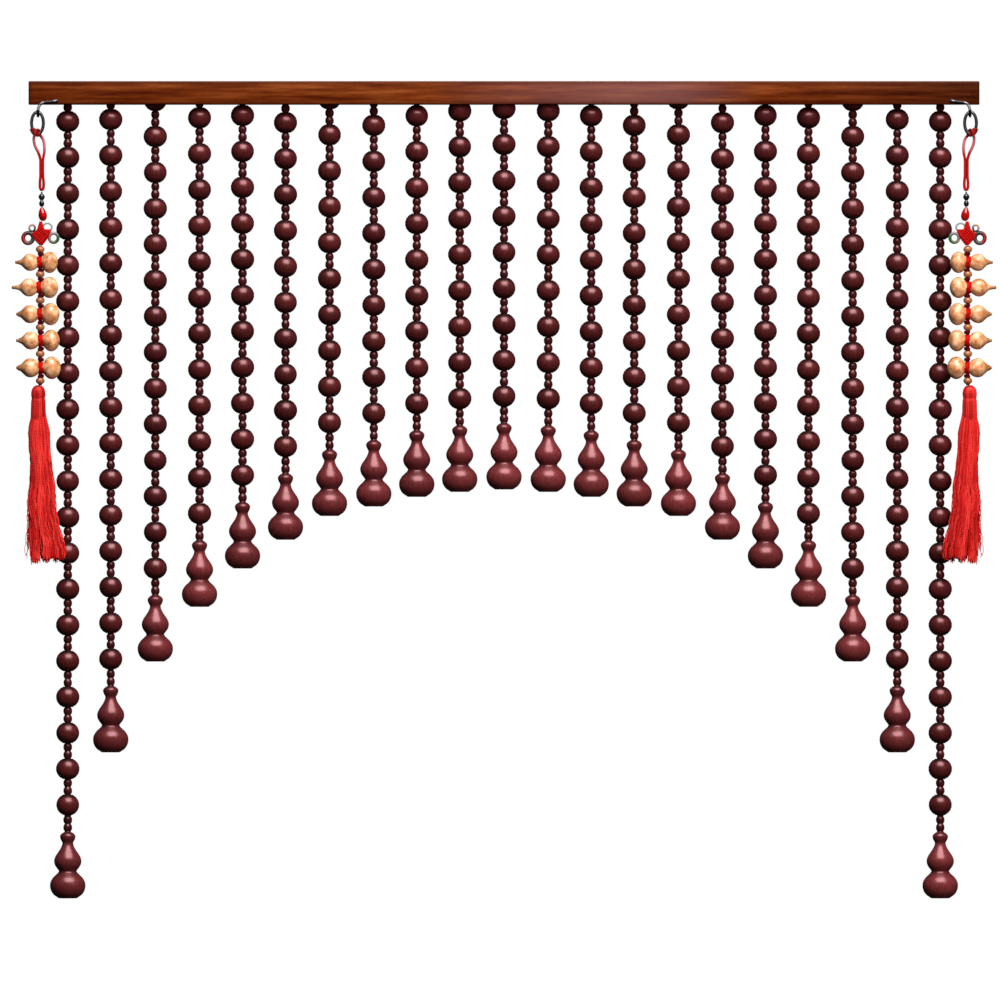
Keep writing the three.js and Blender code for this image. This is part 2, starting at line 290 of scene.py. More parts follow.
@dataclass(frozen=True)
class VarnishedBatten(Finish):
    """A planed hardwood batten, stained red-brown and varnished.

    Long orange-brown streaks run with the grain, broken by short dark pores. The stain is darkest at the
    ends, where the wood drank more of it; painted shade darkens the rail along its top and bottom arrises;
    and the varnish has bloomed to a greyer brown in one stretch.
    """

    dark: str = "#431504"
    middle: str = "#602a0a"
    light: str = "#7c421d"
    pored: str = "#c4a294"
    # The colour of the ends' deeper stain and of the painted shade along the top and bottom.
    edge: str = "#2c0803"
    bloom: str = "#5c3c3c"
    half_length: float = 450.0
    half_height: float = 11.0
    streak: Pattern = Pattern(75.0, 9.0, 4.6, 5.0)
    pore: Pattern = Pattern(9.0, 1.1, 1.0)  # drawn a little coarse, to show
    pore_depth: float = 0.05
    rough: tuple[float, float] = (0.28, 0.38)
    painted_shade_reach: float = 4.0  # how far in from the rail's top and bottom the painted shade reaches
    end_reach: float = 5.0  # and how far from the ends
    # How dark the ends' stain and the painted shade get.
    edge_strength: float = 0.85
    # The bloom and the deeper stain along the rail: a share of its length, and how strong it is there.
    bloomed: tuple[tuple[float, str], ...] = (
        (0.42, "#000000"),
        (0.62, "#c8c8c8"),
        (0.68, "#c0c0c0"),
        (0.77, "#000000"),
    )
    deepened: tuple[tuple[float, str], ...] = (
        (0.0, "#d8c8b8"),
        (0.5, "#ffffff"),
        (0.72, "#ffffff"),
        (0.8, "#d2beac"),
        (1.0, "#908276"),
    )

    def dress(self, tree: Tree) -> Feeds:
        """Adds streaks and pores along the rail, the bloom, the darker ends and the painted shade top and
        bottom.

        Args:
            tree: The material's node tree.

        Returns:
            What feeds each of the shader's sockets.
        """
        place = self.place(tree)
        streaks = self.streak.lay(tree, place)
        pores = self.pore.lay(tree, place)
        stops = [(0.34, self.dark), (0.5, self.middle), (0.68, self.light)]
        streaked = add_node(tree, "ValToRGB", {"stops": stops}, {"Fac": streaks})
        settings = {"data_type": "RGBA", "blend_type": "MULTIPLY", 7: linear(self.pored)}
        links = {0: self.spread(tree, pores, 0.0, 1.0), 6: streaked.outputs["Color"]}
        pored = add_node(tree, "Mix", settings, links)
        axes = add_node(tree, "SeparateXYZ", {}, {"Vector": place})
        reach = {"From Min": -self.half_length * MM, "From Max": self.half_length * MM}
        along = add_node(tree, "MapRange", reach, {"Value": axes.outputs["X"]}).outputs["Result"]
        bloomed = add_node(tree, "ValToRGB", {"stops": self.bloomed}, {"Fac": along})
        settings = {"data_type": "RGBA", 7: linear(self.bloom)}
        greyed = add_node(tree, "Mix", settings, {0: bloomed.outputs["Color"], 6: pored.outputs[2]})
        deepened = add_node(tree, "ValToRGB", {"stops": self.deepened}, {"Fac": along})
        settings = {"data_type": "RGBA", "blend_type": "MULTIPLY", 0: 1.0}
        deep = add_node(tree, "Mix", settings, {6: greyed.outputs[2], 7: deepened.outputs["Color"]})
        return {
            "Base Color": self.edged(tree, axes, deep.outputs[2]),
            "Roughness": self.spread(tree, streaks, *self.rough),
            "Normal": self.relief(tree, pores, self.pore_depth),
        }

    def edged(self, tree: Tree, axes: bpy.types.Node, wood: Socket) -> Socket:
        """Darkens the wood at the ends, as stain, and along its top and bottom, as painted shade.

        Args:
            tree: The material's node tree.
            axes: The node that splits the place into its axes.
            wood: The colour away from them.

        Returns:
            The colour everywhere.
        """
        middle = add_node(
            tree, "Math", {"operation": "ADD", 1: self.half_height * MM}, {0: axes.outputs["Z"]}
        )
        shades = []
        # First the painted shade along the top and bottom, then the end grain's deeper stain.
        for off, half, reach in (
            (middle.outputs["Value"], self.half_height, self.painted_shade_reach),
            (axes.outputs["X"], self.half_length, self.end_reach),
        ):
            far = add_node(tree, "Math", {"operation": "ABSOLUTE"}, {0: off})
            settings = {"From Min": (half - reach) * MM, "From Max": half * MM, "To Max": self.edge_strength}
            shades.append(
                add_node(tree, "MapRange", settings, {"Value": far.outputs["Value"]}).outputs["Result"]
            )
        deepest = add_node(tree, "Math", {"operation": "MAXIMUM"}, dict(enumerate(shades)))
        settings = {"data_type": "RGBA", 7: linear(self.edge)}
        return add_node(tree, "Mix", settings, {0: deepest.outputs["Value"], 6: wood}).outputs[2]


@dataclass(frozen=True)
class GourdShell(Finish):
    """A small dried bottle gourd, scraped and varnished.

    Its shell is golden tan with browner clouds, dark at the stem, and glossy enough for a clear highlight.
    """

    stem: str = "#6e4522"
    dark: str = "#834a26"
    middle: str = "#b47c54"
    light: str = "#d6aa84"
    cloud: Pattern = Pattern(6.0, 6.0, 6.0, 3.0)
    fleck: Pattern = Pattern(0.8, 0.8, 0.8, 1.0)
    fleck_depth: float = 0.03
    rough: tuple[float, float] = (0.22, 0.36)

    def dress(self, tree: Tree) -> Feeds:
        """Adds clouds and flecks, and the browner stem that the tone marks.

        Args:
            tree: The material's node tree.

        Returns:
            What feeds each of the shader's sockets.
        """
        place = self.place(tree)
        flecks = self.fleck.lay(tree, place)
        stops = [(0.3, self.dark), (0.5, self.middle), (0.72, self.light)]
        shell = add_node(tree, "ValToRGB", {"stops": stops}, {"Fac": self.cloud.lay(tree, place)})
        links = {0: self.tone(tree), 7: shell.outputs["Color"]}
        return {
            "Base Color": add_node(
                tree, "Mix", {"data_type": "RGBA", 6: linear(self.stem)}, links
            ).outputs[2],
            "Roughness": self.spread(tree, flecks, *self.rough),
            "Normal": self.relief(tree, flecks, self.fleck_depth),
        }


@dataclass(frozen=True)
class TurnedGoldBead(Finish):
    """A turned wooden bead with an amber-gold lacquer, brown towards its ends: pooled lacquer and painted
    shade.
    """

    dark: str = "#381504"
    light: str = "#865030"
    grain: Pattern = Pattern(0.7, 0.7, 4.0)
    grain_depth: float = 0.01
    grain_strength: float = 0.35  # beside the tone's
    rough: tuple[float, float] = (0.2, 0.32)

    def dress(self, tree: Tree) -> Feeds:
        """Adds fine grain, and the pooled lacquer and painted shade that the tone marks.

        Args:
            tree: The material's node tree.

        Returns:
            What feeds each of the shader's sockets.
        """
        grain = self.grain.lay(tree, self.place(tree))
        settings = {"operation": "MULTIPLY_ADD", 1: self.grain_strength}
        mixed = add_node(tree, "Math", settings, {0: grain, 2: self.tone(tree)})
        stops = [(0.2, self.dark), (1.0, self.light)]
        colour = add_node(tree, "ValToRGB", {"stops": stops}, {"Fac": mixed.outputs["Value"]})
        return {
            "Base Color": colour.outputs["Color"],
            "Roughness": self.spread(tree, grain, *self.rough),
            "Normal": self.relief(tree, grain, self.grain_depth),
        }


@dataclass(frozen=True)
class SpunThread(Finish):
    """Viscose thread, spun, dyed and left loose.

    Each thread takes the dye a little differently, so the skirt is streaked, with a silky sheen along the
    threads.
    """

    dark: str = "#740808"
    middle: str = "#980d0d"
    light: str = "#c2302a"
    fade: Pattern = Pattern(5.0, 5.0, 38.0)
    fading: float = 0.7  # how far it spreads the tone
    twist: float = 2.4  # of the thread's turns, drawn coarse so that they show
    twist_depth: float = 0.12

    def dress(self, tree: Tree) -> Feeds:
        """Adds the thread's own tone, slow fading along it and its twist.

        Args:
            tree: The material's node tree.

        Returns:
            What feeds each of the shader's sockets.
        """
        fade = self.fade.lay(tree, self.place(tree))
        settings = {"operation": "MULTIPLY_ADD", 1: self.fading}
        mixed = add_node(tree, "Math", settings, {0: fade, 2: self.tone(tree)})
        settings = {"operation": "SUBTRACT", 1: self.fading / 2}
        shifted = add_node(tree, "Math", settings, {0: mixed.outputs["Value"]})
        stops = [(0.05, self.dark), (0.45, self.middle), (0.95, self.light)]
        colour = add_node(tree, "ValToRGB", {"stops": stops}, {"Fac": shifted.outputs["Value"]})
        run = add_node(tree, "UVMap", {"uv_map": "run"}).outputs["UV"]
        axes = add_node(tree, "SeparateXYZ", {}, {"Vector": run})
        settings = {"operation": "MULTIPLY_ADD", 1: 1 / self.twist}
        phase = add_node(tree, "Math", settings, {0: axes.outputs["Y"], 2: axes.outputs["X"]})
        wave = add_node(tree, "Math", {"operation": "PINGPONG", 1: 0.5}, {0: phase.outputs["Value"]})
        ridges = self.relief(tree, wave.outputs["Value"], self.twist_depth)
        return {"Base Color": colour.outputs["Color"], "Normal": ridges}


@dataclass(frozen=True)
class BraidedCord(Finish):
    """Nylon knotting cord, braided round and dyed.

    Fine crossing ridges break up its low sheen, and painted shade darkens the colour between them.
    """

    dark: str = "#3c0203"
    light: str = "#940604"
    dyed_by_piece: bool = False
    plaits: int = 2  # crossings round the cord
    plait: float = 2.2  # length of one crossing
    plait_depth: float = 0.18
    wear: Pattern = Pattern(3.0, 3.0, 3.0)
    # How much of the dye's light the braid leaves under its painted shade, from between its ridges to
    # their tops, and how much the wear adds.
    braid_painted_shade: tuple[float, float] = (0.42, 0.62)
    wear_light: tuple[float, float] = (0.3, 0.6)

    def dress(self, tree: Tree) -> Feeds:
        """Adds the braid and painted shade between its ridges, from how far round and along the cord each
        point is.

        Args:
            tree: The material's node tree.

        Returns:
            What feeds each of the shader's sockets.
        """
        run = add_node(tree, "UVMap", {"uv_map": "run"}).outputs["UV"]
        axes = add_node(tree, "SeparateXYZ", {}, {"Vector": run})
        settings = {"operation": "MULTIPLY", 1: math.tau * self.plaits}
        around = add_node(tree, "Math", settings, {0: axes.outputs["X"]})
        waves = []
        for slope in (math.tau / self.plait, -math.tau / self.plait):
            settings = {"operation": "MULTIPLY_ADD", 1: slope}
            phase = add_node(tree, "Math", settings, {0: axes.outputs["Y"], 2: around.outputs["Value"]})
            wave = add_node(tree, "Math", {"operation": "SINE"}, {0: phase.outputs["Value"]})
            waves.append(wave.outputs["Value"])
        ridges = add_node(tree, "Math", {"operation": "MULTIPLY"}, dict(enumerate(waves)))
        settings = {"From Min": -1.0, "From Max": 1.0}
        height = add_node(tree, "MapRange", settings, {"Value": ridges.outputs["Value"]}).outputs["Result"]
        if self.dyed_by_piece:
            dye = add_node(tree, "Attribute", {"attribute_name": "dye"}).outputs["Color"]
        else:
            settings = {"data_type": "RGBA", 6: linear(self.dark), 7: linear(self.light)}
            dye = add_node(tree, "Mix", settings, {0: self.tone(tree)}).outputs[2]
        # Painted shade: the colour darkens between the braid's ridges.
        braided = self.spread(tree, height, *self.braid_painted_shade)
        worn = self.spread(tree, self.wear.lay(tree, self.place(tree)), *self.wear_light)
        value = add_node(tree, "Math", {"operation": "ADD"}, {0: braided, 1: worn})
        colour = add_node(tree, "HueSaturation", {}, {"Color": dye, "Value": value.outputs["Value"]})
        return {"Base Color": colour.outputs["Color"], "Normal": self.relief(tree, height, self.plait_depth)}


@dataclass(frozen=True)
class DrawnWire(Finish):
    """Steel wire, drawn, bent and plated.

    The plating is dull grey with fine lines along the wire; the tone adds a painted highlight to it.
    """

    dull: str = "#2a1e20"
    # The colour of the painted highlight.
    painted_highlight: str = "#dfe2ee"
    line: Pattern = Pattern(1 / 9, 1 / 0.35, 1.0, unit=1.0)  # turns round the wire, and mm along it
    line_depth: float = 0.02
    rough: tuple[float, float] = (0.38, 0.55)

    def dress(self, tree: Tree) -> Feeds:
        """Adds drawn lines, and a painted highlight as strong as the tone says.

        Args:
            tree: The material's node tree.

        Returns:
            What feeds each of the shader's sockets.
        """
        lines = self.line.lay(tree, add_node(tree, "UVMap", {"uv_map": "run"}).outputs["UV"])
        settings = {"data_type": "RGBA", 6: linear(self.dull), 7: linear(self.painted_highlight)}
        return {
            "Base Color": add_node(tree, "Mix", settings, {0: self.tone(tree)}).outputs[2],
            "Roughness": self.spread(tree, lines, *self.rough),
            "Normal": self.relief(tree, lines, self.line_depth),
        }


@dataclass(frozen=True)
class MouldedBead(Finish):
    """A pressed glass or acrylic bead: one clear strong colour, a sharp highlight and faint flow clouds."""

    dark: str = "#050505"
    light: str = "#1a1a1c"
    cloud: Pattern = Pattern(2.5, 2.5, 4.0)
    rough: tuple[float, float] = (0.1, 0.2)

    def dress(self, tree: Tree) -> Feeds:
        """Adds the flow clouds.

        Args:
            tree: The material's node tree.

        Returns:
            What feeds each of the shader's sockets.
        """
        clouds = self.cloud.lay(tree, self.place(tree))
        stops = [(0.35, self.dark), (0.65, self.light)]
        colour = add_node(tree, "ValToRGB", {"stops": stops}, {"Fac": clouds})
        return {"Base Color": colour.outputs["Color"], "Roughness": self.spread(tree, clouds, *self.rough)}


PINK_GLOSS = {"IOR": 1.6, "Specular Tint": linear("#ffbcc0")}
BEAD_WOOD = LacqueredBead("stained_beech_turned_and_lacquered", PINK_GLOSS)
PENDANT_WOOD = LacqueredBead(
    "stained_beech_carved_and_lacquered",
    PINK_GLOSS,
    dark="#3d1415",
    middle="#4f1c1d",
    light="#5f2627",
    # Less end-grain stain and painted shade at the pendants' ends than on the beads.
    end_grain_and_shade=0.7,
)
RAIL_WOOD = VarnishedBatten(
    "sapele_planed_stained_and_varnished", {"IOR": 1.45, "Specular Tint": linear("#e0a080")}
)
SHELL = GourdShell("bottle_gourd_shell_scraped_and_varnished", {"IOR": 1.5})
GOLD_WOOD = TurnedGoldBead("boxwood_turned_and_gold_lacquered", {"IOR": 1.5})
SILK = SpunThread("viscose_thread_spun_and_dyed", {"Roughness": 0.45, "Specular Tint": linear("#ff9a90")})
RED_CORD = BraidedCord(
    "nylon_cord_braided_and_dyed_red", {"Roughness": 0.6, "Specular Tint": linear("#ff5a4a")}
)
FADED_CORD = BraidedCord(
    "nylon_cord_braided_dyed_and_faded",
    {"Roughness": 0.6, "Specular Tint": linear("#ff6a60")},
    dyed_by_piece=True,
)
MIXED_CORD = BraidedCord("nylon_cord_braided_in_mixed_dyes", {"Roughness": 0.5}, dyed_by_piece=True)
WIRE = DrawnWire("steel_wire_drawn_and_plated", {"Metallic": 1.0})
BLACK_GLASS = MouldedBead("black_glass_pressed", {"IOR": 1.5})
RED_ACRYLIC = MouldedBead("red_acrylic_moulded", {"IOR": 1.49}, dark="#640403", light="#9a0a06")


# ---- meshes ----


def eased(points: Sequence[Sequence[float]], steps: int, closed: bool = False) -> list[Vector]:
    """Runs a smooth curve through points.

    Args:
        points: What it passes through.
        steps: Steps between each two of them.
        closed: Whether it comes back to its start.

    Returns:
        Points along the curve; a closed one doesn't repeat its first.
    """
    knots = [Vector(p) for p in points]
    count = len(knots)
    spans = count if closed else count - 1
    path: list[Vector] = []
    for i in range(spans):
        here, there = knots[i], knots[(i + 1) % count]
        before = knots[i - 1] if closed or i > 0 else here
        after = knots[(i + 2) % count] if closed or i + 2 < count else there
        third = (there - here).length / 3
        leave = here + (there - before).normalized() * third
        arrive = there - (after - here).normalized() * third
        path += interpolate_bezier(here, leave, arrive, there, steps + 1)[:-1]
    if not closed:
        path.append(knots[-1])
    return path


def carried_frames(path: Sequence[Vector], closed: bool) -> list[tuple[Vector, Vector]]:
    """Carries two unit vectors along a path without twisting them.

    Args:
        path: The points of the path.
        closed: Whether its end joins its start; then they come back to where they began.

    Returns:
        The two vectors across the path at each point.
    """
    count = len(path)
    ways = []
    for i in range(count):
        back = path[i - 1] if closed or i > 0 else path[i]
        ahead = path[(i + 1) % count] if closed or i + 1 < count else path[i]
        ways.append((ahead - back).normalized())
    across = ways[0].orthogonal().normalized()
    start = across
    carried = []
    for way in ways:
        across = (across - way * across.dot(way)).normalized()
        carried.append(across)
    slip = 0.0
    if closed:
        home = (across - ways[0] * across.dot(ways[0])).normalized()
        slip = math.atan2(home.cross(start).dot(ways[0]), home.dot(start))
    frames = []
    for i, (way, side) in enumerate(zip(ways, carried)):
        turned = Matrix.Rotation(slip * i / count, 3, way) @ side
        frames.append((turned, way.cross(turned)))
    return frames


def once(elements: Iterable[Any]) -> list[Any]:
    """Drops repeats and keeps the order, which a set of mesh elements doesn't."""
    return list(dict.fromkeys(elements))


def of_kind(result: dict[str, Any], kind: type) -> list[Any]:
    """Picks the elements of one kind out of an operator's result."""
    return [element for element in result["geom"] if isinstance(element, kind)]


class Workpiece:
    """One piece of the scene while it is made: forms are added to its mesh, in millimetres.

    Attributes:
        side_grain: How far a turned surface may lean to its axis and still be side grain, 0 to 1.
        end_grain_and_shade: From which lean on it is end grain, painted darkest for its stain and for shade.
    """

    side_grain: float = 0.5
    end_grain_and_shade: float = 0.82

    def __init__(self, name: str) -> None:
        """Starts an empty mesh.

        Args:
            name: What the piece is called in the scene.
        """
        self.name = name
        self.bm = bmesh.new()
        layers = self.bm.verts.layers
        kinds = {"tone": layers.float, "ends": layers.float, "dye": layers.float_color}
        kinds |= {"tube": layers.int, "corner": layers.int}
        for layer, kind in kinds.items():
            kind.new(layer)
        # A new layer moves the others, so they are looked up when all are there.
        self.tone, self.ends, self.dye, self.tube, self.corner = (
            kind[layer] for layer, kind in kinds.items()
        )
        self.run = self.bm.loops.layers.uv.new("run")

    def turn(
        self,
        rows: Sequence[Row],
        sides: int,
        tones: Sequence[float] | float = 0.5,
        place: Matrix | None = None,
    ) -> Verts:
        """Spins an outline about the Z axis and closes its ends.

        Args:
            rows: The outline's height and radius at each corner, from its foot up.
            sides: Faces round the form.
            tones: One tone, or one for each row.
            place: Where the form goes, if not on the Z axis.

        Returns:
            The form's vertices.
        """
        before = set(self.bm.verts)
        stretch = math.pi / (sides * math.sin(math.pi / sides))
        outline = [self.bm.verts.new((radius * stretch, 0.0, height)) for height, radius in rows]
        for i, vert in enumerate(outline):
            vert[self.tone] = tones if isinstance(tones, (int, float)) else tones[i]
            # How far a row faces along the axis sets its ends value, which the bead finish paints darker as
            # end-grain stain and painted shade.
            (low, thin), (high, thick) = rows[max(i - 1, 0)], rows[min(i + 1, len(rows) - 1)]
            facing = abs(thick - thin) / math.hypot(thick - thin, high - low)
            share = (facing - self.side_grain) / (self.end_grain_and_shade - self.side_grain)
            vert[self.ends] = min(1.0, max(0.0, share))
        wires = [self.bm.edges.new(pair) for pair in pairwise(outline)]
        bmesh.ops.spin(
            self.bm,
            geom=[*outline, *wires],
            cent=(0, 0, 0),
            axis=(0, 0, 1),
            dvec=(0, 0, 0),
            angle=math.tau,
            steps=sides,
            use_merge=True,
        )
        verts = [vert for vert in self.bm.verts if vert not in before]
        self.close(verts)
        if place is not None:
            bmesh.ops.transform(self.bm, matrix=place, verts=verts)
        return verts

    def close(self, verts: Verts) -> None:
        """Fills the open ends of what these vertices make."""
        rims = once(edge for vert in verts for edge in vert.link_edges if edge.is_boundary)
        bmesh.ops.edgeloop_fill(self.bm, edges=rims)

    def copy(self, verts: Verts, place: Matrix, tone: float) -> Verts:
        """Copies a form.

        Args:
            verts: The form's vertices.
            place: The move from the form to its copy.
            tone: The copy's tone.

        Returns:
            The copy's vertices.
        """
        faces = once(face for vert in verts for face in vert.link_faces)
        made = of_kind(bmesh.ops.duplicate(self.bm, geom=[*verts, *faces]), bmesh.types.BMVert)
        bmesh.ops.transform(self.bm, matrix=place, verts=made)
        for vert in made:
            vert[self.tone] = tone
        return made

    def draw_out(
        self,
        paths: Sequence[Sequence[Vector]],
        radius: Callable[[float], float] | float,
        sides: int,
        closed: bool = False,
        tones: Sequence[float] = (0.5,),
    ) -> Verts:
        """Draws a round section out along each path, all of them a step at a time.

        Args:
            paths: The points of each tube's axis; all have as many.
            radius: The radius, or what gives it from how far along the tube is, 0 to 1.
            sides: Faces round a tube.
            closed: Whether each tube's end joins its start.
            tones: The tone of each tube, taken in turn.

        Returns:
            The tubes' vertices.
        """
        frames = [carried_frames(path, closed) for path in paths]
        stretch = math.pi / (sides * math.sin(math.pi / sides))
        levels = len(paths[0])
        last = levels if closed else levels - 1
        lengths = []
        for path in paths:
            along = [0.0]
            for i in range(last):
                along.append(along[-1] + (path[(i + 1) % levels] - path[i]).length)
            lengths.append(along)

        def settle(verts: Verts, level: int) -> None:
            """Moves a level's corners to their places round the paths."""
            size = radius if isinstance(radius, (int, float)) else radius(level / last)
            for vert in verts:
                number = vert[self.tube]
                side, up = frames[number][level % levels]
                angle = math.tau * vert[self.corner] / sides
                offset = side * math.cos(angle) + up * math.sin(angle)
                vert.co = paths[number][level % levels] + offset * size * stretch

        first: Verts = []
        for number in range(len(paths)):
            ring = bmesh.ops.create_circle(self.bm, cap_ends=False, segments=sides, radius=1.0)["verts"]
            for index, vert in enumerate(ring):
                vert[self.tube] = number
                vert[self.corner] = index
                vert[self.tone] = tones[number % len(tones)]
            first += ring
        settle(first, 0)
        verts = list(first)
        rims = once(edge for vert in first for edge in vert.link_edges)
        for level in range(1, last + 1):
            drawn = bmesh.ops.extrude_edge_only(self.bm, edges=rims)
            fresh = of_kind(drawn, bmesh.types.BMVert)
            settle(fresh, level)
            new = set(fresh)
            rims = [e for e in of_kind(drawn, bmesh.types.BMEdge) if e.verts[0] in new and e.verts[1] in new]
            for face in once(face for vert in fresh for face in vert.link_faces):
                seam = {loop.vert[self.corner] for loop in face.loops} == {0, sides - 1}
                for loop in face.loops:
                    turn = loop.vert[self.corner] or (sides if seam else 0)
                    reach = level if loop.vert in new else level - 1
                    loop[self.run].uv = (turn / sides, lengths[loop.vert[self.tube]][reach])
            verts += fresh
        if closed:
            ends = [*first, *fresh]
            bmesh.ops.remove_doubles(self.bm, verts=ends, dist=WELD)
            return [vert for vert in verts if vert.is_valid]
        self.close(verts)
        return verts

    def put_in_order(self) -> None:
        """Sorts edges and faces by their corners, since operators list them in another order each run."""
        self.bm.verts.index_update()
        for elements in (self.bm.edges, self.bm.faces):
            ranked = sorted(elements, key=lambda element: sorted(vert.index for vert in element.verts))
            places = {element: place for place, element in enumerate(ranked)}
            elements.sort(key=places.get)

    def into_scene(
        self, finish: Finish, nodes: Sequence[str], place: Matrix | None = None
    ) -> None:
        """Puts the piece into the scene, on the curtain's body.

        Args:
            finish: What it is dressed in.
            nodes: The CAD nodes that it stands for.
            place: A last move of the whole piece; mm.
        """
        move = Matrix.Scale(MM, 4) @ (place or Matrix.Identity(4))
        bmesh.ops.transform(self.bm, matrix=move, verts=self.bm.verts[:])
        self.put_in_order()
        bmesh.ops.recalc_face_normals(self.bm, faces=self.bm.faces[:])
        for face in self.bm.faces:
            face.smooth = True
        for edge in self.bm.edges:
            edge.smooth = edge.calc_face_angle(0.0) < SHARP
        layers = self.bm.verts.layers
        layers.int.remove(layers.int["tube"])
        layers.int.remove(layers.int["corner"])
        mesh = bpy.data.meshes.new(self.name)
        self.bm.to_mesh(mesh)
        self.bm.free()
        mesh.materials.append(finish.material())
        piece = bpy.data.objects.new(self.name, mesh)
        bpy.context.scene.collection.objects.link(piece)
        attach(piece, "root")
        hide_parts(*nodes)
        log.info("%s: %d faces, for %s", self.name, len(mesh.polygons), ", ".join(nodes))


# ---- the curtain ----


@dataclass
class HeadRail:
    """The batten that carries the strands in a groove along its underside."""

    length: float = 900.0
    height: float = 22.0
    depth: float = 34.0
    groove_width: float = 24.4
    groove_depth: float = 16.5
    arris: float = 1.1

    def build(self) -> None:
        """Extrudes the grooved section along the rail and rounds its outer arrises."""
        piece = Workpiece("grooved_head_rail")
        bm = piece.bm
        outer = self.depth / 2
        inner = self.groove_width / 2
        half = [(inner, self.groove_depth - self.height), (inner, -self.height)]
        half += [(outer, -self.height), (outer, 0.0)]
        section = [*half, *((-y, z) for y, z in reversed(half))]
        start = -self.length / 2
        face = bm.faces.new([bm.verts.new((start, y, z)) for y, z in section])
        drawn = bmesh.ops.extrude_face_region(bm, geom=[face])
        bmesh.ops.translate(bm, vec=(self.length, 0, 0), verts=of_kind(drawn, bmesh.types.BMVert))
        bmesh.ops.recalc_face_normals(bm, faces=bm.faces[:])
        outside = [
            edge
            for edge in bm.edges
            if all(abs(abs(vert.co.y) - outer) < NEAR for vert in edge.verts) and edge.calc_length() > inner
        ]
        bmesh.ops.bevel(bm, geom=outside, offset=self.arris, **ROUNDING)
        piece.into_scene(RAIL_WOOD, ["rail"])


@dataclass
class TurnedBead:
    """A turned bead with flat ends, on the Z axis.

    Attributes:
        height: Between its flat ends.
        radius: At its middle.
        end: Radius of its flat ends.
        bands: Faces from end to end.
        sides: Faces round it.
    """

    height: float
    radius: float
    end: float
    bands: int
    sides: int

    def rows(self) -> list[Row]:
        """Gives the bead's outline, an arc of an ellipse between its flat ends."""
        lean = math.asin(self.end / self.radius)
        half = self.height / 2 / math.cos(lean)
        angles = [lean + (math.pi - 2 * lean) * i / self.bands for i in range(self.bands + 1)]
        return [(-half * math.cos(angle), self.radius * math.sin(angle)) for angle in angles]


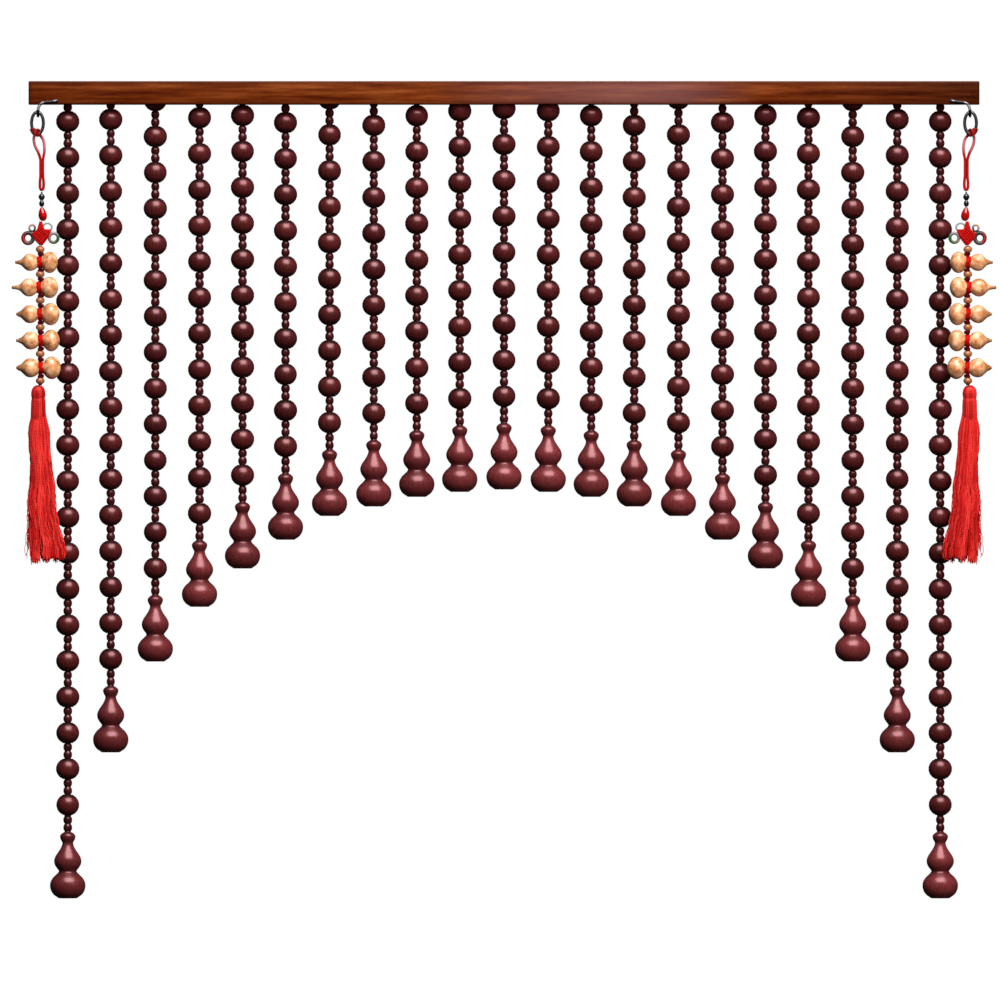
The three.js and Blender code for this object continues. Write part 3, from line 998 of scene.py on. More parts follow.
@dataclass
class Strand:
    """One strand of the curtain: its thread, its big beads with two small ones between them, and its gourd.

    Attributes:
        number: Its place along the rail, from 1.
    """

    number: int
    big: TurnedBead = field(default_factory=lambda: TurnedBead(19.4, 11.1, 4.4, 7, 12))
    small: TurnedBead = field(default_factory=lambda: TurnedBead(7.33, 4.15, 2.8, 4, 8))
    small_per_gap: int = 2
    wound: TurnedBead = field(default_factory=lambda: TurnedBead(1.9, 3.4, 3.0, 2, 8))  # wound thread
    small_tones: tuple[float, float] = (0.08, 0.36)
    big_tones: tuple[float, float] = (0.45, 1.0)
    foot_to_bead: float = 88.5
    ceiling: float = -5.8  # of the groove in the rail
    thread_radius: float = 0.6
    thread_sides: int = 6
    thread_sunk: float = 1.0  # how far the thread goes into the gourd
    thread_top: float = 3.0  # how far the thread ends under the ceiling
    bead_top: float = 3.4  # how far the last small bead stays under it
    knot_drop: float = 2.0  # from the ceiling to the knot's middle
    knot_sides: int = 8
    knot_rows: tuple[Row, ...] = ((-1.9, 0.5), (-1.5, 1.3), (-0.4, 1.8), (0.6, 1.7), (1.4, 1.1), (1.7, 0.4))
    gap_shares: tuple[float, ...] = (0.27, 0.72)  # where the two small beads over the gourd sit in their gap
    crooked: float = 1.0  # how far a bead leans, in degrees
    first_seed: int = 1000  # of the strands' random draws
    gourd_sides: int = 26
    waist: float = 25.8  # the gourd's narrowest height
    waist_reach: float = 3.4  # how far the stain and painted shade spread from there
    collar_foot: float = 53.0
    collar_share: float = 0.4  # of its tone that the collar keeps under stain and painted shade
    # The turned gourd's outline from its foot to the collar round its cord hole.
    gourd_rows: tuple[Row, ...] = (
        (0.0, 8.4), (0.5, 9.2), (1.1, 10.1), (3.0, 12.95), (4.9, 14.55), (6.8, 15.65), (8.7, 16.35),
        (11.5, 16.8), (14.35, 16.6), (16.3, 16.0), (18.1, 15.0), (20.0, 13.6), (21.9, 11.6), (23.8, 9.5),
        (25.4, 8.4), (26.2, 8.45), (27.6, 9.5), (29.5, 11.0), (31.4, 12.1), (33.3, 12.7), (35.2, 12.9),
        (37.1, 12.7), (39.0, 12.0), (40.9, 11.05), (42.8, 9.75), (44.7, 8.4), (46.6, 7.2), (48.4, 6.2),
        (50.3, 5.45), (52.2, 5.05), (53.2, 5.25), (54.6, 6.1), (56.0, 6.8), (57.9, 7.3), (59.2, 7.25),
        (60.4, 6.6), (61.7, 5.2), (62.6, 3.6),
    )

    def build(self) -> None:
        """Builds the strand and its gourd where the CAD solids hang."""
        low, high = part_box(f"gourd_{self.number:02d}")
        x = (low.x + high.x) / 2 / MM
        foot = low.z / MM
        chance = random.Random(self.first_seed + self.number)
        self.build_beads(x, foot, chance)
        self.build_gourd(x, foot, chance)

    def build_beads(self, x: float, foot: float, chance: random.Random) -> None:
        """Threads the beads.

        Args:
            x: Where the strand hangs along the rail.
            foot: The height of the gourd's foot.
            chance: Gives each bead its turn and tone.
        """
        piece = Workpiece(f"strung_beads_{self.number:02d}")
        thread_foot = foot + self.gourd_rows[-1][0] - self.thread_sunk
        column = [(thread_foot, self.thread_radius), (self.ceiling - self.thread_top, self.thread_radius)]
        piece.turn(column, self.thread_sides, 0.0, Matrix.Translation((x, 0, 0)))
        tied = Matrix.Translation((x, 0, self.ceiling - self.knot_drop))
        piece.turn(self.knot_rows, self.knot_sides, 0.0, tied)
        big_half = self.big.height / 2
        pitch = self.big.height + self.small_per_gap * self.small.height
        gap = (foot + self.gourd_rows[-1][0], foot + self.foot_to_bead - big_half)
        centre = foot + self.foot_to_bead
        bigs = []
        smalls = [gap[0] + (gap[1] - gap[0]) * share for share in self.gap_shares]
        while centre + big_half < self.ceiling:
            bigs.append(centre)
            above = centre + big_half + self.small.height / 2
            smalls += [above, above + self.small.height]
            centre += pitch
        smalls = [z for z in smalls if z + self.small.height / 2 < self.ceiling - self.bead_top]
        for form, heights in ((self.big, bigs), (self.small, smalls), (self.wound, gap)):
            model = piece.turn(form.rows(), form.sides)
            for z in heights:
                turn = Matrix.Rotation(chance.uniform(0, math.tau), 4, "Z")
                lean = Matrix.Rotation(math.radians(chance.gauss(0, self.crooked)), 4, "Y")
                tone = chance.uniform(*(self.big_tones if form is self.big else self.small_tones))
                piece.copy(model, Matrix.Translation((x, 0, z)) @ lean @ turn, tone)
            bmesh.ops.delete(piece.bm, geom=model, context="VERTS")
        piece.into_scene(BEAD_WOOD, [f"strand_{self.number:02d}"])

    def clear_of_stain_and_shade(self, height: float) -> float:
        """Says how much of its tone the gourd keeps at a height; stain and painted shade darken waist and
        collar.

        Args:
            height: Above the gourd's foot.

        Returns:
            From 0 in the waist's hollow to 1 on the bulbs.
        """
        if height > self.collar_foot:
            return self.collar_share
        return min(1.0, abs(height - self.waist) / self.waist_reach)

    def build_gourd(self, x: float, foot: float, chance: random.Random) -> None:
        """Turns the gourd.

        Args:
            x: Where the strand hangs along the rail.
            foot: The height of the gourd's foot.
            chance: Gives the gourd its turn and tone.
        """
        piece = Workpiece(f"turned_gourd_{self.number:02d}")
        turn = Matrix.Rotation(chance.uniform(0, math.tau), 4, "Z")
        tone = chance.uniform(*self.big_tones)
        # Stain and painted shade darken the waist's hollow and the collar.
        tones = [tone * self.clear_of_stain_and_shade(height) for height, _ in self.gourd_rows]
        piece.turn(self.gourd_rows, self.gourd_sides, tones, Matrix.Translation((x, 0, foot)) @ turn)
        piece.into_scene(PENDANT_WOOD, [f"gourd_{self.number:02d}"])


# ---- the charms ----


class Dye(Enum):
    """A dye of the charm's cords."""

    BLACK = "#141212"
    SOOT = "#3c342f"
    RED = "#6e080c"
    ASH = "#706870"
    GREEN = "#074214"
    DRAB = "#62524a"
    SAGE = "#6c7c76"
    RUST = "#642c20"
    ROSE = "#8a6a60"
    WINE = "#64080b"
    FADED = "#954a52"
    CRIMSON = "#840605"


def dyed(dyes: Sequence[tuple[float, Dye]], place: float) -> Vector:
    """Mixes the dye at a place along a cord.

    Args:
        dyes: Places in rising order, and the dye at each.
        place: Where the cord is looked at.

    Returns:
        The colour there in linear light; past either end it is the end's.
    """
    place = max(min(place, dyes[-1][0]), dyes[0][0])
    for (low, here), (high, there) in pairwise(dyes):
        if place <= high:
            return Vector(linear(here.value)).lerp(Vector(linear(there.value)), (place - low) / (high - low))
    return Vector(linear(dyes[-1][1].value))


class Side(Enum):
    """Which end of the rail a charm hangs at."""

    LEFT = "left"
    RIGHT = "right"

    def place(self, reach: float) -> Matrix:
        """Moves a charm from its own axis to its end of the rail.

        Args:
            reach: From the curtain's middle to the charm's axis; mm.

        Returns:
            The move; the right charm is the left one mirrored.
        """
        if self is Side.LEFT:
            return Matrix.Translation((-reach, 0, 0))
        return Matrix.Translation((reach, 0, 0)) @ Matrix.Scale(-1, 4, (1, 0, 0))


@dataclass
class CharmPart:
    """What the parts of a charm share: x runs from the charm's axis towards the curtain's middle.

    Attributes:
        side: Which charm it is of.
        reach: From the curtain's middle to the charm's axis.
        plane: The upright plane that the charm hangs in.
    """

    side: Side
    reach: float = 438.4
    plane: float = -22.9

    def at(self, x: float, front: float, z: float) -> Vector:
        """Gives a point from x, its distance in front of the charm's plane, and z."""
        return Vector((x, self.plane - front, z))

    def hang(self, piece: Workpiece, finish: Finish, node: str, slot: str) -> None:
        """Hangs a piece at its end of the rail.

        Args:
            piece: The piece, in the charm's own frame.
            finish: What it is dressed in.
            node: The CAD node that it stands for, without its side.
            slot: Not used.
        """
        piece.into_scene(finish, [f"{self.side.value}_{node}"], self.side.place(self.reach))


@dataclass
class HookAndRing(CharmPart):
    """The bent wire hook in the rail's face, and the ring that hangs on it."""

    wire: float = 1.4
    ring_wire: float = 1.5
    sides: int = 10
    steps: int = 5  # between each two points of the hook
    # The hook from its foot in the rail to its bend: x, y and z.
    leg: tuple[Point, ...] = (
        (15.4, -13.4, -18.6), (15.4, -17.0, -18.6), (14.9, -18.8, -18.7), (13.2, -19.2, -19.0),
        (9.4, -19.2, -19.6), (4.0, -19.2, -20.2), (0.4, -19.2, -21.4), (-1.9, -19.2, -24.6),
    )
    turn: float = 3.7  # radius of the bend
    bend_step: int = 45  # degrees
    shank_x: float = -2.5
    seat: float = -29.4
    tip: float = 2.2  # how far the wire's end comes up behind the ring
    # The tone: painted highlight on the link, a fainter one over it, a painted glint at the rail, dull
    # elsewhere.
    link_x: float = 2.5
    link_rise: float = 1.0
    link_top: float = -23.0
    glint_x: float = 12.0
    link_highlight: float = 1.0
    faint_highlight: float = 0.25
    painted_glint: float = 0.16
    dull: float = 0.03
    ring_tone: float = 0.12
    ring_steps: int = 36
    ring_centre: tuple[float, float] = (-3.0, -39.8)
    ring_half: tuple[float, float] = (5.6, 10.4)

    def build(self) -> None:
        """Bends the hook's wire and the ring's."""
        points = list(self.leg)
        for degrees in range(0, FULL_TURN // 2 + 1, self.bend_step):
            angle = math.radians(degrees)
            front = self.plane + self.turn * math.cos(angle)
            points.append((self.shank_x, front, self.seat - self.turn * math.sin(angle)))
        points.append((self.shank_x, self.plane - self.turn, self.seat + self.tip))
        hook = Workpiece(f"{self.side.value}_wire_hook")
        for vert in hook.draw_out([eased(points, self.steps)], self.wire, self.sides):
            x, y, z = vert.co
            # The link gets a painted highlight, the leg's end at the rail a painted glint, the rest the dull
            # plating.
            if x < self.link_x and y > self.plane and z > self.seat + self.link_rise:
                vert[hook.tone] = self.link_highlight if z < self.link_top else self.faint_highlight
            else:
                vert[hook.tone] = self.painted_glint if x > self.glint_x else self.dull
        self.hang(hook, WIRE, "hook", "steel")
        ring = Workpiece(f"{self.side.value}_wire_ring")
        x, z = self.ring_centre
        wide, tall = self.ring_half
        round_points = []
        for i in range(self.ring_steps):
            angle = math.tau * i / self.ring_steps
            round_points.append(self.at(x + wide * math.sin(angle), 0, z + tall * math.cos(angle)))
        ring.draw_out([round_points], self.ring_wire, self.sides, closed=True, tones=(self.ring_tone,))
        self.hang(ring, WIRE, "ring", "steel")


@dataclass
class HangingLoop(CharmPart):
    """The red cord that hangs from the ring, its legs drawn together over a small loop below.

    Its dye has worn off where the legs hang free.
    """

    cord: float = 1.33
    # The turns wound round the foot of the ring: from where to where round it, and how many.
    wound: tuple[float, float] = (163.0, 238.0)
    turns: int = 8
    winding: float = 0.8  # radius of the cord that is wound there
    winding_bite: float = 0.2  # how far it presses into the ring's edge
    turn_steps: int = 12
    steps: int = 5  # between each two points of the route
    sides: int = 8
    winding_sides: int = 6
    # The dye up the cord: a height, and the dye there.
    dyes: tuple[tuple[float, Dye], ...] = (
        (-104.0, Dye.CRIMSON),
        (-69.0, Dye.CRIMSON),
        (-63.0, Dye.FADED),
        (-56.0, Dye.FADED),
        (-51.0, Dye.WINE),
        (-46.0, Dye.WINE),
    )
    # x, the distance in front of the charm's plane, and z.
    route: tuple[Point, ...] = (
        (-3.0, 0.0, -46.2), (-4.5, 2.9, -47.4), (-5.6, 3.9, -50.8), (-6.4, 2.8, -55.5), (-5.2, 1.9, -61.5),
        (-2.3, 1.4, -67.5), (-0.2, 0.9, -74.0), (-0.1, 0.5, -80.0), (-0.1, 0.2, -86.0), (-0.2, 0.0, -91.0),
        (-0.6, 0.0, -95.5), (-0.6, 0.0, -99.0), (-0.2, 0.0, -101.8), (1.1, 0.0, -103.0), (2.4, 0.0, -101.8),
        (2.8, 0.0, -99.0), (2.8, 0.0, -95.5), (2.3, 0.0, -91.0), (2.2, -0.2, -86.0), (2.2, -0.5, -80.0),
        (2.3, -0.9, -74.0), (3.4, -1.4, -67.5), (3.5, -1.8, -61.5), (2.3, -2.8, -55.5), (-0.6, -3.9, -50.8),
        (-1.5, -2.9, -47.4),
    )

    def build(self) -> None:
        """Draws the cord along its route, and winds its turns round the ring."""
        piece = Workpiece(f"{self.side.value}_red_loop")
        path = eased([self.at(*point) for point in self.route], self.steps, closed=True)
        verts = piece.draw_out([path], self.cord, self.sides, closed=True)
        verts += piece.draw_out([self.wind()], self.winding, self.winding_sides)
        for vert in verts:
            vert[piece.dye] = dyed(self.dyes, vert.co.z)
        self.hang(piece, FADED_CORD, "hanging_loop", "red_cord")

    def wind(self) -> list[Vector]:
        """Winds a coil round the foot of the ring.

        Returns:
            The points of the coil.
        """
        ring = HookAndRing(self.side)
        x, z = ring.ring_centre
        wide, tall = ring.ring_half
        reach = ring.ring_wire + self.winding - self.winding_bite
        steps = self.turn_steps * self.turns
        points = []
        for i in range(steps + 1):
            share = i / steps
            place = math.radians(self.wound[0] + (self.wound[1] - self.wound[0]) * share)
            outward = Vector((math.sin(place) / wide, 0, math.cos(place) / tall)).normalized()
            wire = self.at(x + wide * math.sin(place), 0, z + tall * math.cos(place))
            turned = math.tau * self.turns * share
            across = Vector((0, reach * math.sin(turned), 0))
            points.append(wire + outward * reach * math.cos(turned) + across)
        return points


@dataclass
class BeadStack(CharmPart):
    """The two black beads and the red drop bead over the knot."""

    x: float = 1.0
    lean: float = -7.0  # of the drop bead, in degrees; its foot points towards the curtain's middle
    black_sides: int = 18
    drop_sides: int = 20
    black_rows: tuple[Row, ...] = (
        (-119.0, 0.9), (-118.4, 1.6), (-117.2, 2.3), (-115.8, 2.5), (-114.4, 2.2), (-113.3, 1.3),
        (-112.9, 1.2), (-112.2, 1.9), (-110.8, 2.8), (-109.4, 3.0), (-108.0, 2.5), (-107.0, 1.5),
        (-106.4, 0.9), (-104.95, 0.8),
    )
    drop_rows: tuple[Row, ...] = (
        (-132.5, 1.2), (-131.9, 2.2), (-130.4, 3.4), (-128.4, 4.0), (-126.2, 3.95), (-124.0, 3.4),
        (-121.8, 2.5), (-120.2, 1.6), (-119.3, 0.9),
    )

    def build(self) -> None:
        """Turns both pieces on the stack's axis."""
        place = Matrix.Translation((self.x, self.plane, 0))
        black = Workpiece(f"{self.side.value}_black_glass_beads")
        black.turn(self.black_rows, self.black_sides, place=place)
        self.hang(black, BLACK_GLASS, "black_beads", "black_bead")
        drop = Workpiece(f"{self.side.value}_red_drop_bead")
        hole = Matrix.Translation((0, 0, self.drop_rows[-1][0]))
        lean = Matrix.Rotation(math.radians(self.lean), 4, "Y")
        drop.turn(self.drop_rows, self.drop_sides, place=place @ hole @ lean @ hole.inverted())
        self.hang(drop, RED_ACRYLIC, "drop_bead", "red_bead")


@dataclass
class Ear:
    """One loop of cord that stands out of the knot.

    Attributes:
        x: Its middle, from the knot's.
        z: Its middle, from the knot's.
        wide: Half its width.
        tall: Half its height.
        cord: Its cord's radius.
        dyes: Its dyes, each with its place in degrees clockwise from the top.
    """

    x: float
    z: float
    wide: float
    tall: float
    cord: float
    dyes: tuple[tuple[float, Dye], ...]


@dataclass
class StarKnot(CharmPart):
    """The flat knot: a woven star of red cord, with four ears of mixed cord."""

    x: float = 0.2
    z: float = -145.4
    thickness: float = 6.4
    inset: float = 0.95  # of the star's padding from its faces
    rounding: float = 1.0
    padding_tone: float = 0.72
    cord: float = 1.3
    cord_sides: int = 6
    cord_tones: tuple[float, ...] = (0.72, 0.8, 0.68)
    lane: float = 2.1  # from cord to cord
    lanes: int = 2  # on each side of the middle one
    weave: float = 5.6  # half a cord's length
    weave_steps: int = 12
    weave_drop: float = 0.4  # of the weave's middle under the star's
    sunk: float = 1.85
    lift: float = 0.15
    ear_sides: int = 8
    ear_steps: int = 24
    star: tuple[tuple[float, float], ...] = (
        (-1.4, 12.6), (1.2, 12.6), (3.6, 5.2), (10.4, 5.0), (7.0, -3.2), (1.6, -10.2), (-1.2, -10.2),
        (-6.4, -4.6), (-9.2, 0.6), (-3.6, 5.0),
    )
    ears: tuple[Ear, ...] = (
        Ear(
            -12.0, -3.2, 4.7, 4.9, 1.9,
            ((0, Dye.BLACK), (80, Dye.BLACK), (170, Dye.SOOT), (225, Dye.RED), (280, Dye.RED)),
        ),
        Ear(
            12.1, -3.0, 4.2, 4.4, 1.45,
            ((0, Dye.ASH), (90, Dye.GREEN), (140, Dye.GREEN), (225, Dye.DRAB), (280, Dye.DRAB)),
        ),
        Ear(
            6.2, 7.0, 4.2, 3.8, 0.8,
            ((0, Dye.SAGE), (90, Dye.SAGE), (160, Dye.RUST), (235, Dye.RUST), (315, Dye.SAGE)),
        ),
        Ear(
            -8.2, 6.2, 2.7, 3.0, 0.95,
            ((0, Dye.ROSE), (110, Dye.BLACK), (210, Dye.BLACK), (280, Dye.ROSE)),
        ),
    )

    def build(self) -> None:
        """Builds the star and its ears."""
        self.build_star()
        self.build_ears()

    def build_star(self) -> None:
        """Pads out the star, and weaves cords over both its faces."""
        piece = Workpiece(f"{self.side.value}_star_knot")
        bm = piece.bm
        half = self.thickness / 2
        back = half - self.inset
        place = self.at(self.x, 0, self.z)
        face = bm.faces.new([bm.verts.new((x, back, z)) for x, z in self.star])
        drawn = bmesh.ops.extrude_face_region(bm, geom=[face])
        bmesh.ops.translate(bm, vec=(0, -2 * back, 0), verts=of_kind(drawn, bmesh.types.BMVert))
        bmesh.ops.recalc_face_normals(bm, faces=bm.faces[:])
        rims = [e for e in bm.edges if abs(e.verts[0].co.y - e.verts[1].co.y) < NEAR]
        bmesh.ops.bevel(bm, geom=rims, offset=self.rounding, **ROUNDING)
        for vert in bm.verts:
            vert[piece.tone] = self.padding_tone
        bmesh.ops.translate(bm, vec=place, verts=bm.verts[:])
        paths = []
        for front, slope, lane in product((1, -1), (1, -1), range(-self.lanes, self.lanes + 1)):
            points = []
            for step in range(self.weave_steps + 1):
                along = self.weave * (step / (self.weave_steps / 2) - 1)
                across = self.lane * lane
                x = (along + across) * math.sqrt(0.5)
                z = slope * (along - across) * math.sqrt(0.5) - self.weave_drop
                lift = half - self.sunk + self.lift * slope * math.cos((along / self.lane + lane) * math.pi)
                points.append(place + Vector((x, -front * lift, z)))
            paths.append(points)
        piece.draw_out(paths, self.cord, self.cord_sides, tones=self.cord_tones)
        self.hang(piece, RED_CORD, "knot", "red_cord")

    def build_ears(self) -> None:
        """Loops the ears out of the star."""
        piece = Workpiece(f"{self.side.value}_knot_ears")
        for ear in self.ears:
            points = []
            for i in range(self.ear_steps):
                angle = math.tau * i / self.ear_steps
                x = self.x + ear.x + ear.wide * math.sin(angle)
                z = self.z + ear.z + ear.tall * math.cos(angle)
                points.append(self.at(x, 0, z))
            for vert in piece.draw_out([points], ear.cord, self.ear_sides, closed=True):
                angle = math.atan2(vert.co.x - self.x - ear.x, vert.co.z - self.z - ear.z) % math.tau
                vert[piece.dye] = dyed((*ear.dyes, (FULL_TURN, ear.dyes[0][1])), math.degrees(angle))
        self.hang(piece, MIXED_CORD, "knot", "red_cord")


@dataclass
class SmallGourd:
    """A small dried gourd lying across the rope.

    Attributes:
        z: Its height.
        tip: The stem's tip, along x.
        waist: Its waist, along x.
        end: The end of its belly, along x.
        bulb: Radius of its upper bulb.
        belly: Radius of its belly.
        waist_radius: Radius of its waist.
        waist_length: Length of its waist.
        shoulder: How it narrows to the stem, by distance from the bulb's middle and radius, in bulb radii.
    """

    z: float
    tip: float
    waist: float
    end: float
    bulb: float
    belly: float
    waist_radius: float = 4.4
    waist_length: float = 3.0
    shoulder: tuple[tuple[float, float], ...] = ((1.35, 0.24), (1.08, 0.33), (0.85, 0.53), (0.62, 0.75))
    # Along x and radius: the stem from its tip, and the blossom end from the belly's end.
    stem: tuple[Row, ...] = ((0.0, 0.9), (0.5, 1.4), (2.4, 1.55))
    blossom: tuple[Row, ...] = ((0.0, 1.6), (-0.5, 0.6))
    bulb_seat: float = 0.95  # from the bulb's middle to the waist, in bulb radii
    # Where the outline is given on each round, in degrees from its stem side.
    bulb_angles: tuple[int, ...] = (66, 88, 112, 132)
    belly_angles: tuple[int, ...] = (42, 62, 84, 104, 126, 146, 164)
    thinnest: float = 0.4

    def rows(self) -> list[Row]:
        """Gives its outline along x, from the stem's tip to the end of its belly."""
        neck = self.waist - self.waist_length / 2
        start = self.waist + self.waist_length / 2
        bulb_x = neck - self.bulb_seat * self.bulb
        belly_x = (start + self.end) / 2
        half = (self.end - start) / 2
        knots = [(self.tip + along, radius, 0) for along, radius in self.stem]
        knots += [(bulb_x - reach * self.bulb, radius * self.bulb, 0) for reach, radius in self.shoulder]
        for angle in map(math.radians, self.bulb_angles):
            knots.append((bulb_x - self.bulb * math.cos(angle), self.bulb * math.sin(angle), 0))
        knots += [(neck, self.waist_radius, 0), (start, self.waist_radius, 0)]
        for angle in map(math.radians, self.belly_angles):
            knots.append((belly_x - half * math.cos(angle), self.belly * math.sin(angle), 0))
        knots += [(self.end + along, radius, 0) for along, radius in self.blossom]
        return [(point.x, max(point.y, self.thinnest)) for point in eased(knots, 2)]


@dataclass
class GourdRope(CharmPart):
    """The rope with five small gourds lashed across it and gold beads threaded between them."""

    rope: float = 1.7
    rope_x: float = -0.4
    top: float = -155.9
    foot: float = -287.9
    gourds: tuple[SmallGourd, ...] = (
        SmallGourd(-171.6, -24.1, -0.8, 16.2, 8.1, 10.1),
        SmallGourd(-195.4, -27.4, -1.4, 16.6, 8.5, 10.0),
        SmallGourd(-220.6, -23.2, -0.6, 17.8, 8.5, 10.5),
        SmallGourd(-245.6, -23.2, 0.2, 18.0, 8.5, 10.2),
        SmallGourd(-271.4, -23.2, 0.4, 19.0, 9.0, 10.7),
    )
    bead_heights: tuple[float, ...] = (-159.3, -182.8, -207.6, -233.0, -258.2, -283.6)
    bead: TurnedBead = field(default_factory=lambda: TurnedBead(6.3, 4.2, 1.7, 8, 18))
    lashing: float = 0.72
    lashings: int = 4
    crossing: float = 1.05  # radius of the cord that crosses over and under each gourd
    crossing_reach: float = 2.1
    crossing_height: float = 8.0  # from the gourd's axis
    crossing_x: float = 0.6
    crossing_rise: float = 2.2  # in radii of its cord
    crossing_turns: int = 2
    overlap: float = 0.9  # of a turn, by which the lashings are pressed together
    gourd_sides: int = 22
    rope_sides: int = 8
    rope_steps: int = 30
    cord_sides: int = 6
    turn_steps: int = 14
    rope_tone: float = 0.3
    lashing_tone: float = 1.0
    # The crossings get the darkest dye as painted shade.
    crossing_shade_tone: float = 0.0
    # The skin pales from the stem on: where that begins behind its tip, and how long it takes.
    pale_from: float = 2.5
    pale_over: float = 8.0
    bead_shade: float = 0.1

    def build(self) -> None:
        """Builds the gourds, the beads, and the rope with its lashings."""
        self.build_gourds()
        self.build_beads()
        self.build_rope()

    def build_gourds(self) -> None:
        """Turns the gourds and lays them across the rope."""
        piece = Workpiece(f"{self.side.value}_dried_gourds")
        for gourd in self.gourds:
            rows = gourd.rows()
            tones = [min(1.0, max(0.0, (x - gourd.tip - self.pale_from) / self.pale_over)) for x, _ in rows]
            place = Matrix.Translation((0, self.plane, gourd.z)) @ Matrix.Rotation(math.pi / 2, 4, "Y")
            piece.turn(rows, self.gourd_sides, tones, place)
        self.hang(piece, SHELL, "small_gourds", "gourd_skin")

    def build_beads(self) -> None:
        """Turns the gold beads."""
        piece = Workpiece(f"{self.side.value}_gold_beads")
        rows = self.bead.rows()
        # The tone follows the radius, so the beads darken towards their ends: pooled lacquer and painted
        # shade.
        tones = [radius / self.bead.radius - self.bead_shade for _, radius in rows]
        for z in self.bead_heights:
            piece.turn(rows, self.bead.sides, tones, Matrix.Translation((self.rope_x, self.plane, z)))
        self.hang(piece, GOLD_WOOD, "small_gourds", "gourd_skin")

    def build_rope(self) -> None:
        """Draws the rope, the turns round each gourd's waist, and the crossings over and under it in painted
        shade.
        """
        piece = Workpiece(f"{self.side.value}_rope_and_lashings")
        steps = self.rope_steps
        rope = [
            self.at(self.rope_x, 0, self.top + (self.foot - self.top) * i / steps) for i in range(steps + 1)
        ]
        piece.draw_out([rope], self.rope, self.rope_sides, tones=(self.rope_tone,))
        for gourd in self.gourds:
            reach = gourd.waist_radius + self.lashing
            turns = []
            for i in range(self.turn_steps * self.lashings + 1):
                angle = math.tau * i / self.turn_steps
                share = i / self.turn_steps / self.lashings - 0.5
                x = gourd.waist + share * 2 * self.lashing * (self.lashings - self.overlap)
                y = self.plane - reach * math.cos(angle)
                turns.append(Vector((x, y, gourd.z + reach * math.sin(angle))))
            piece.draw_out([turns], self.lashing, self.cord_sides, tones=(self.lashing_tone,))
            for way in (1, -1):
                crossing = []
                middle = gourd.z + way * self.crossing_height
                steps = self.crossing_turns * self.turn_steps
                for i in range(steps + 1):
                    angle = math.tau * i / self.turn_steps
                    x = self.rope_x + self.crossing_x + self.crossing_reach * math.sin(angle)
                    z = middle + way * (i / steps - 0.5) * self.crossing_rise * self.crossing
                    crossing.append(Vector((x, self.plane - self.crossing_reach * math.cos(angle), z)))
                piece.draw_out([crossing], self.crossing, self.cord_sides, tones=(self.crossing_shade_tone,))
        self.hang(piece, RED_CORD, "small_gourds", "red_cord")


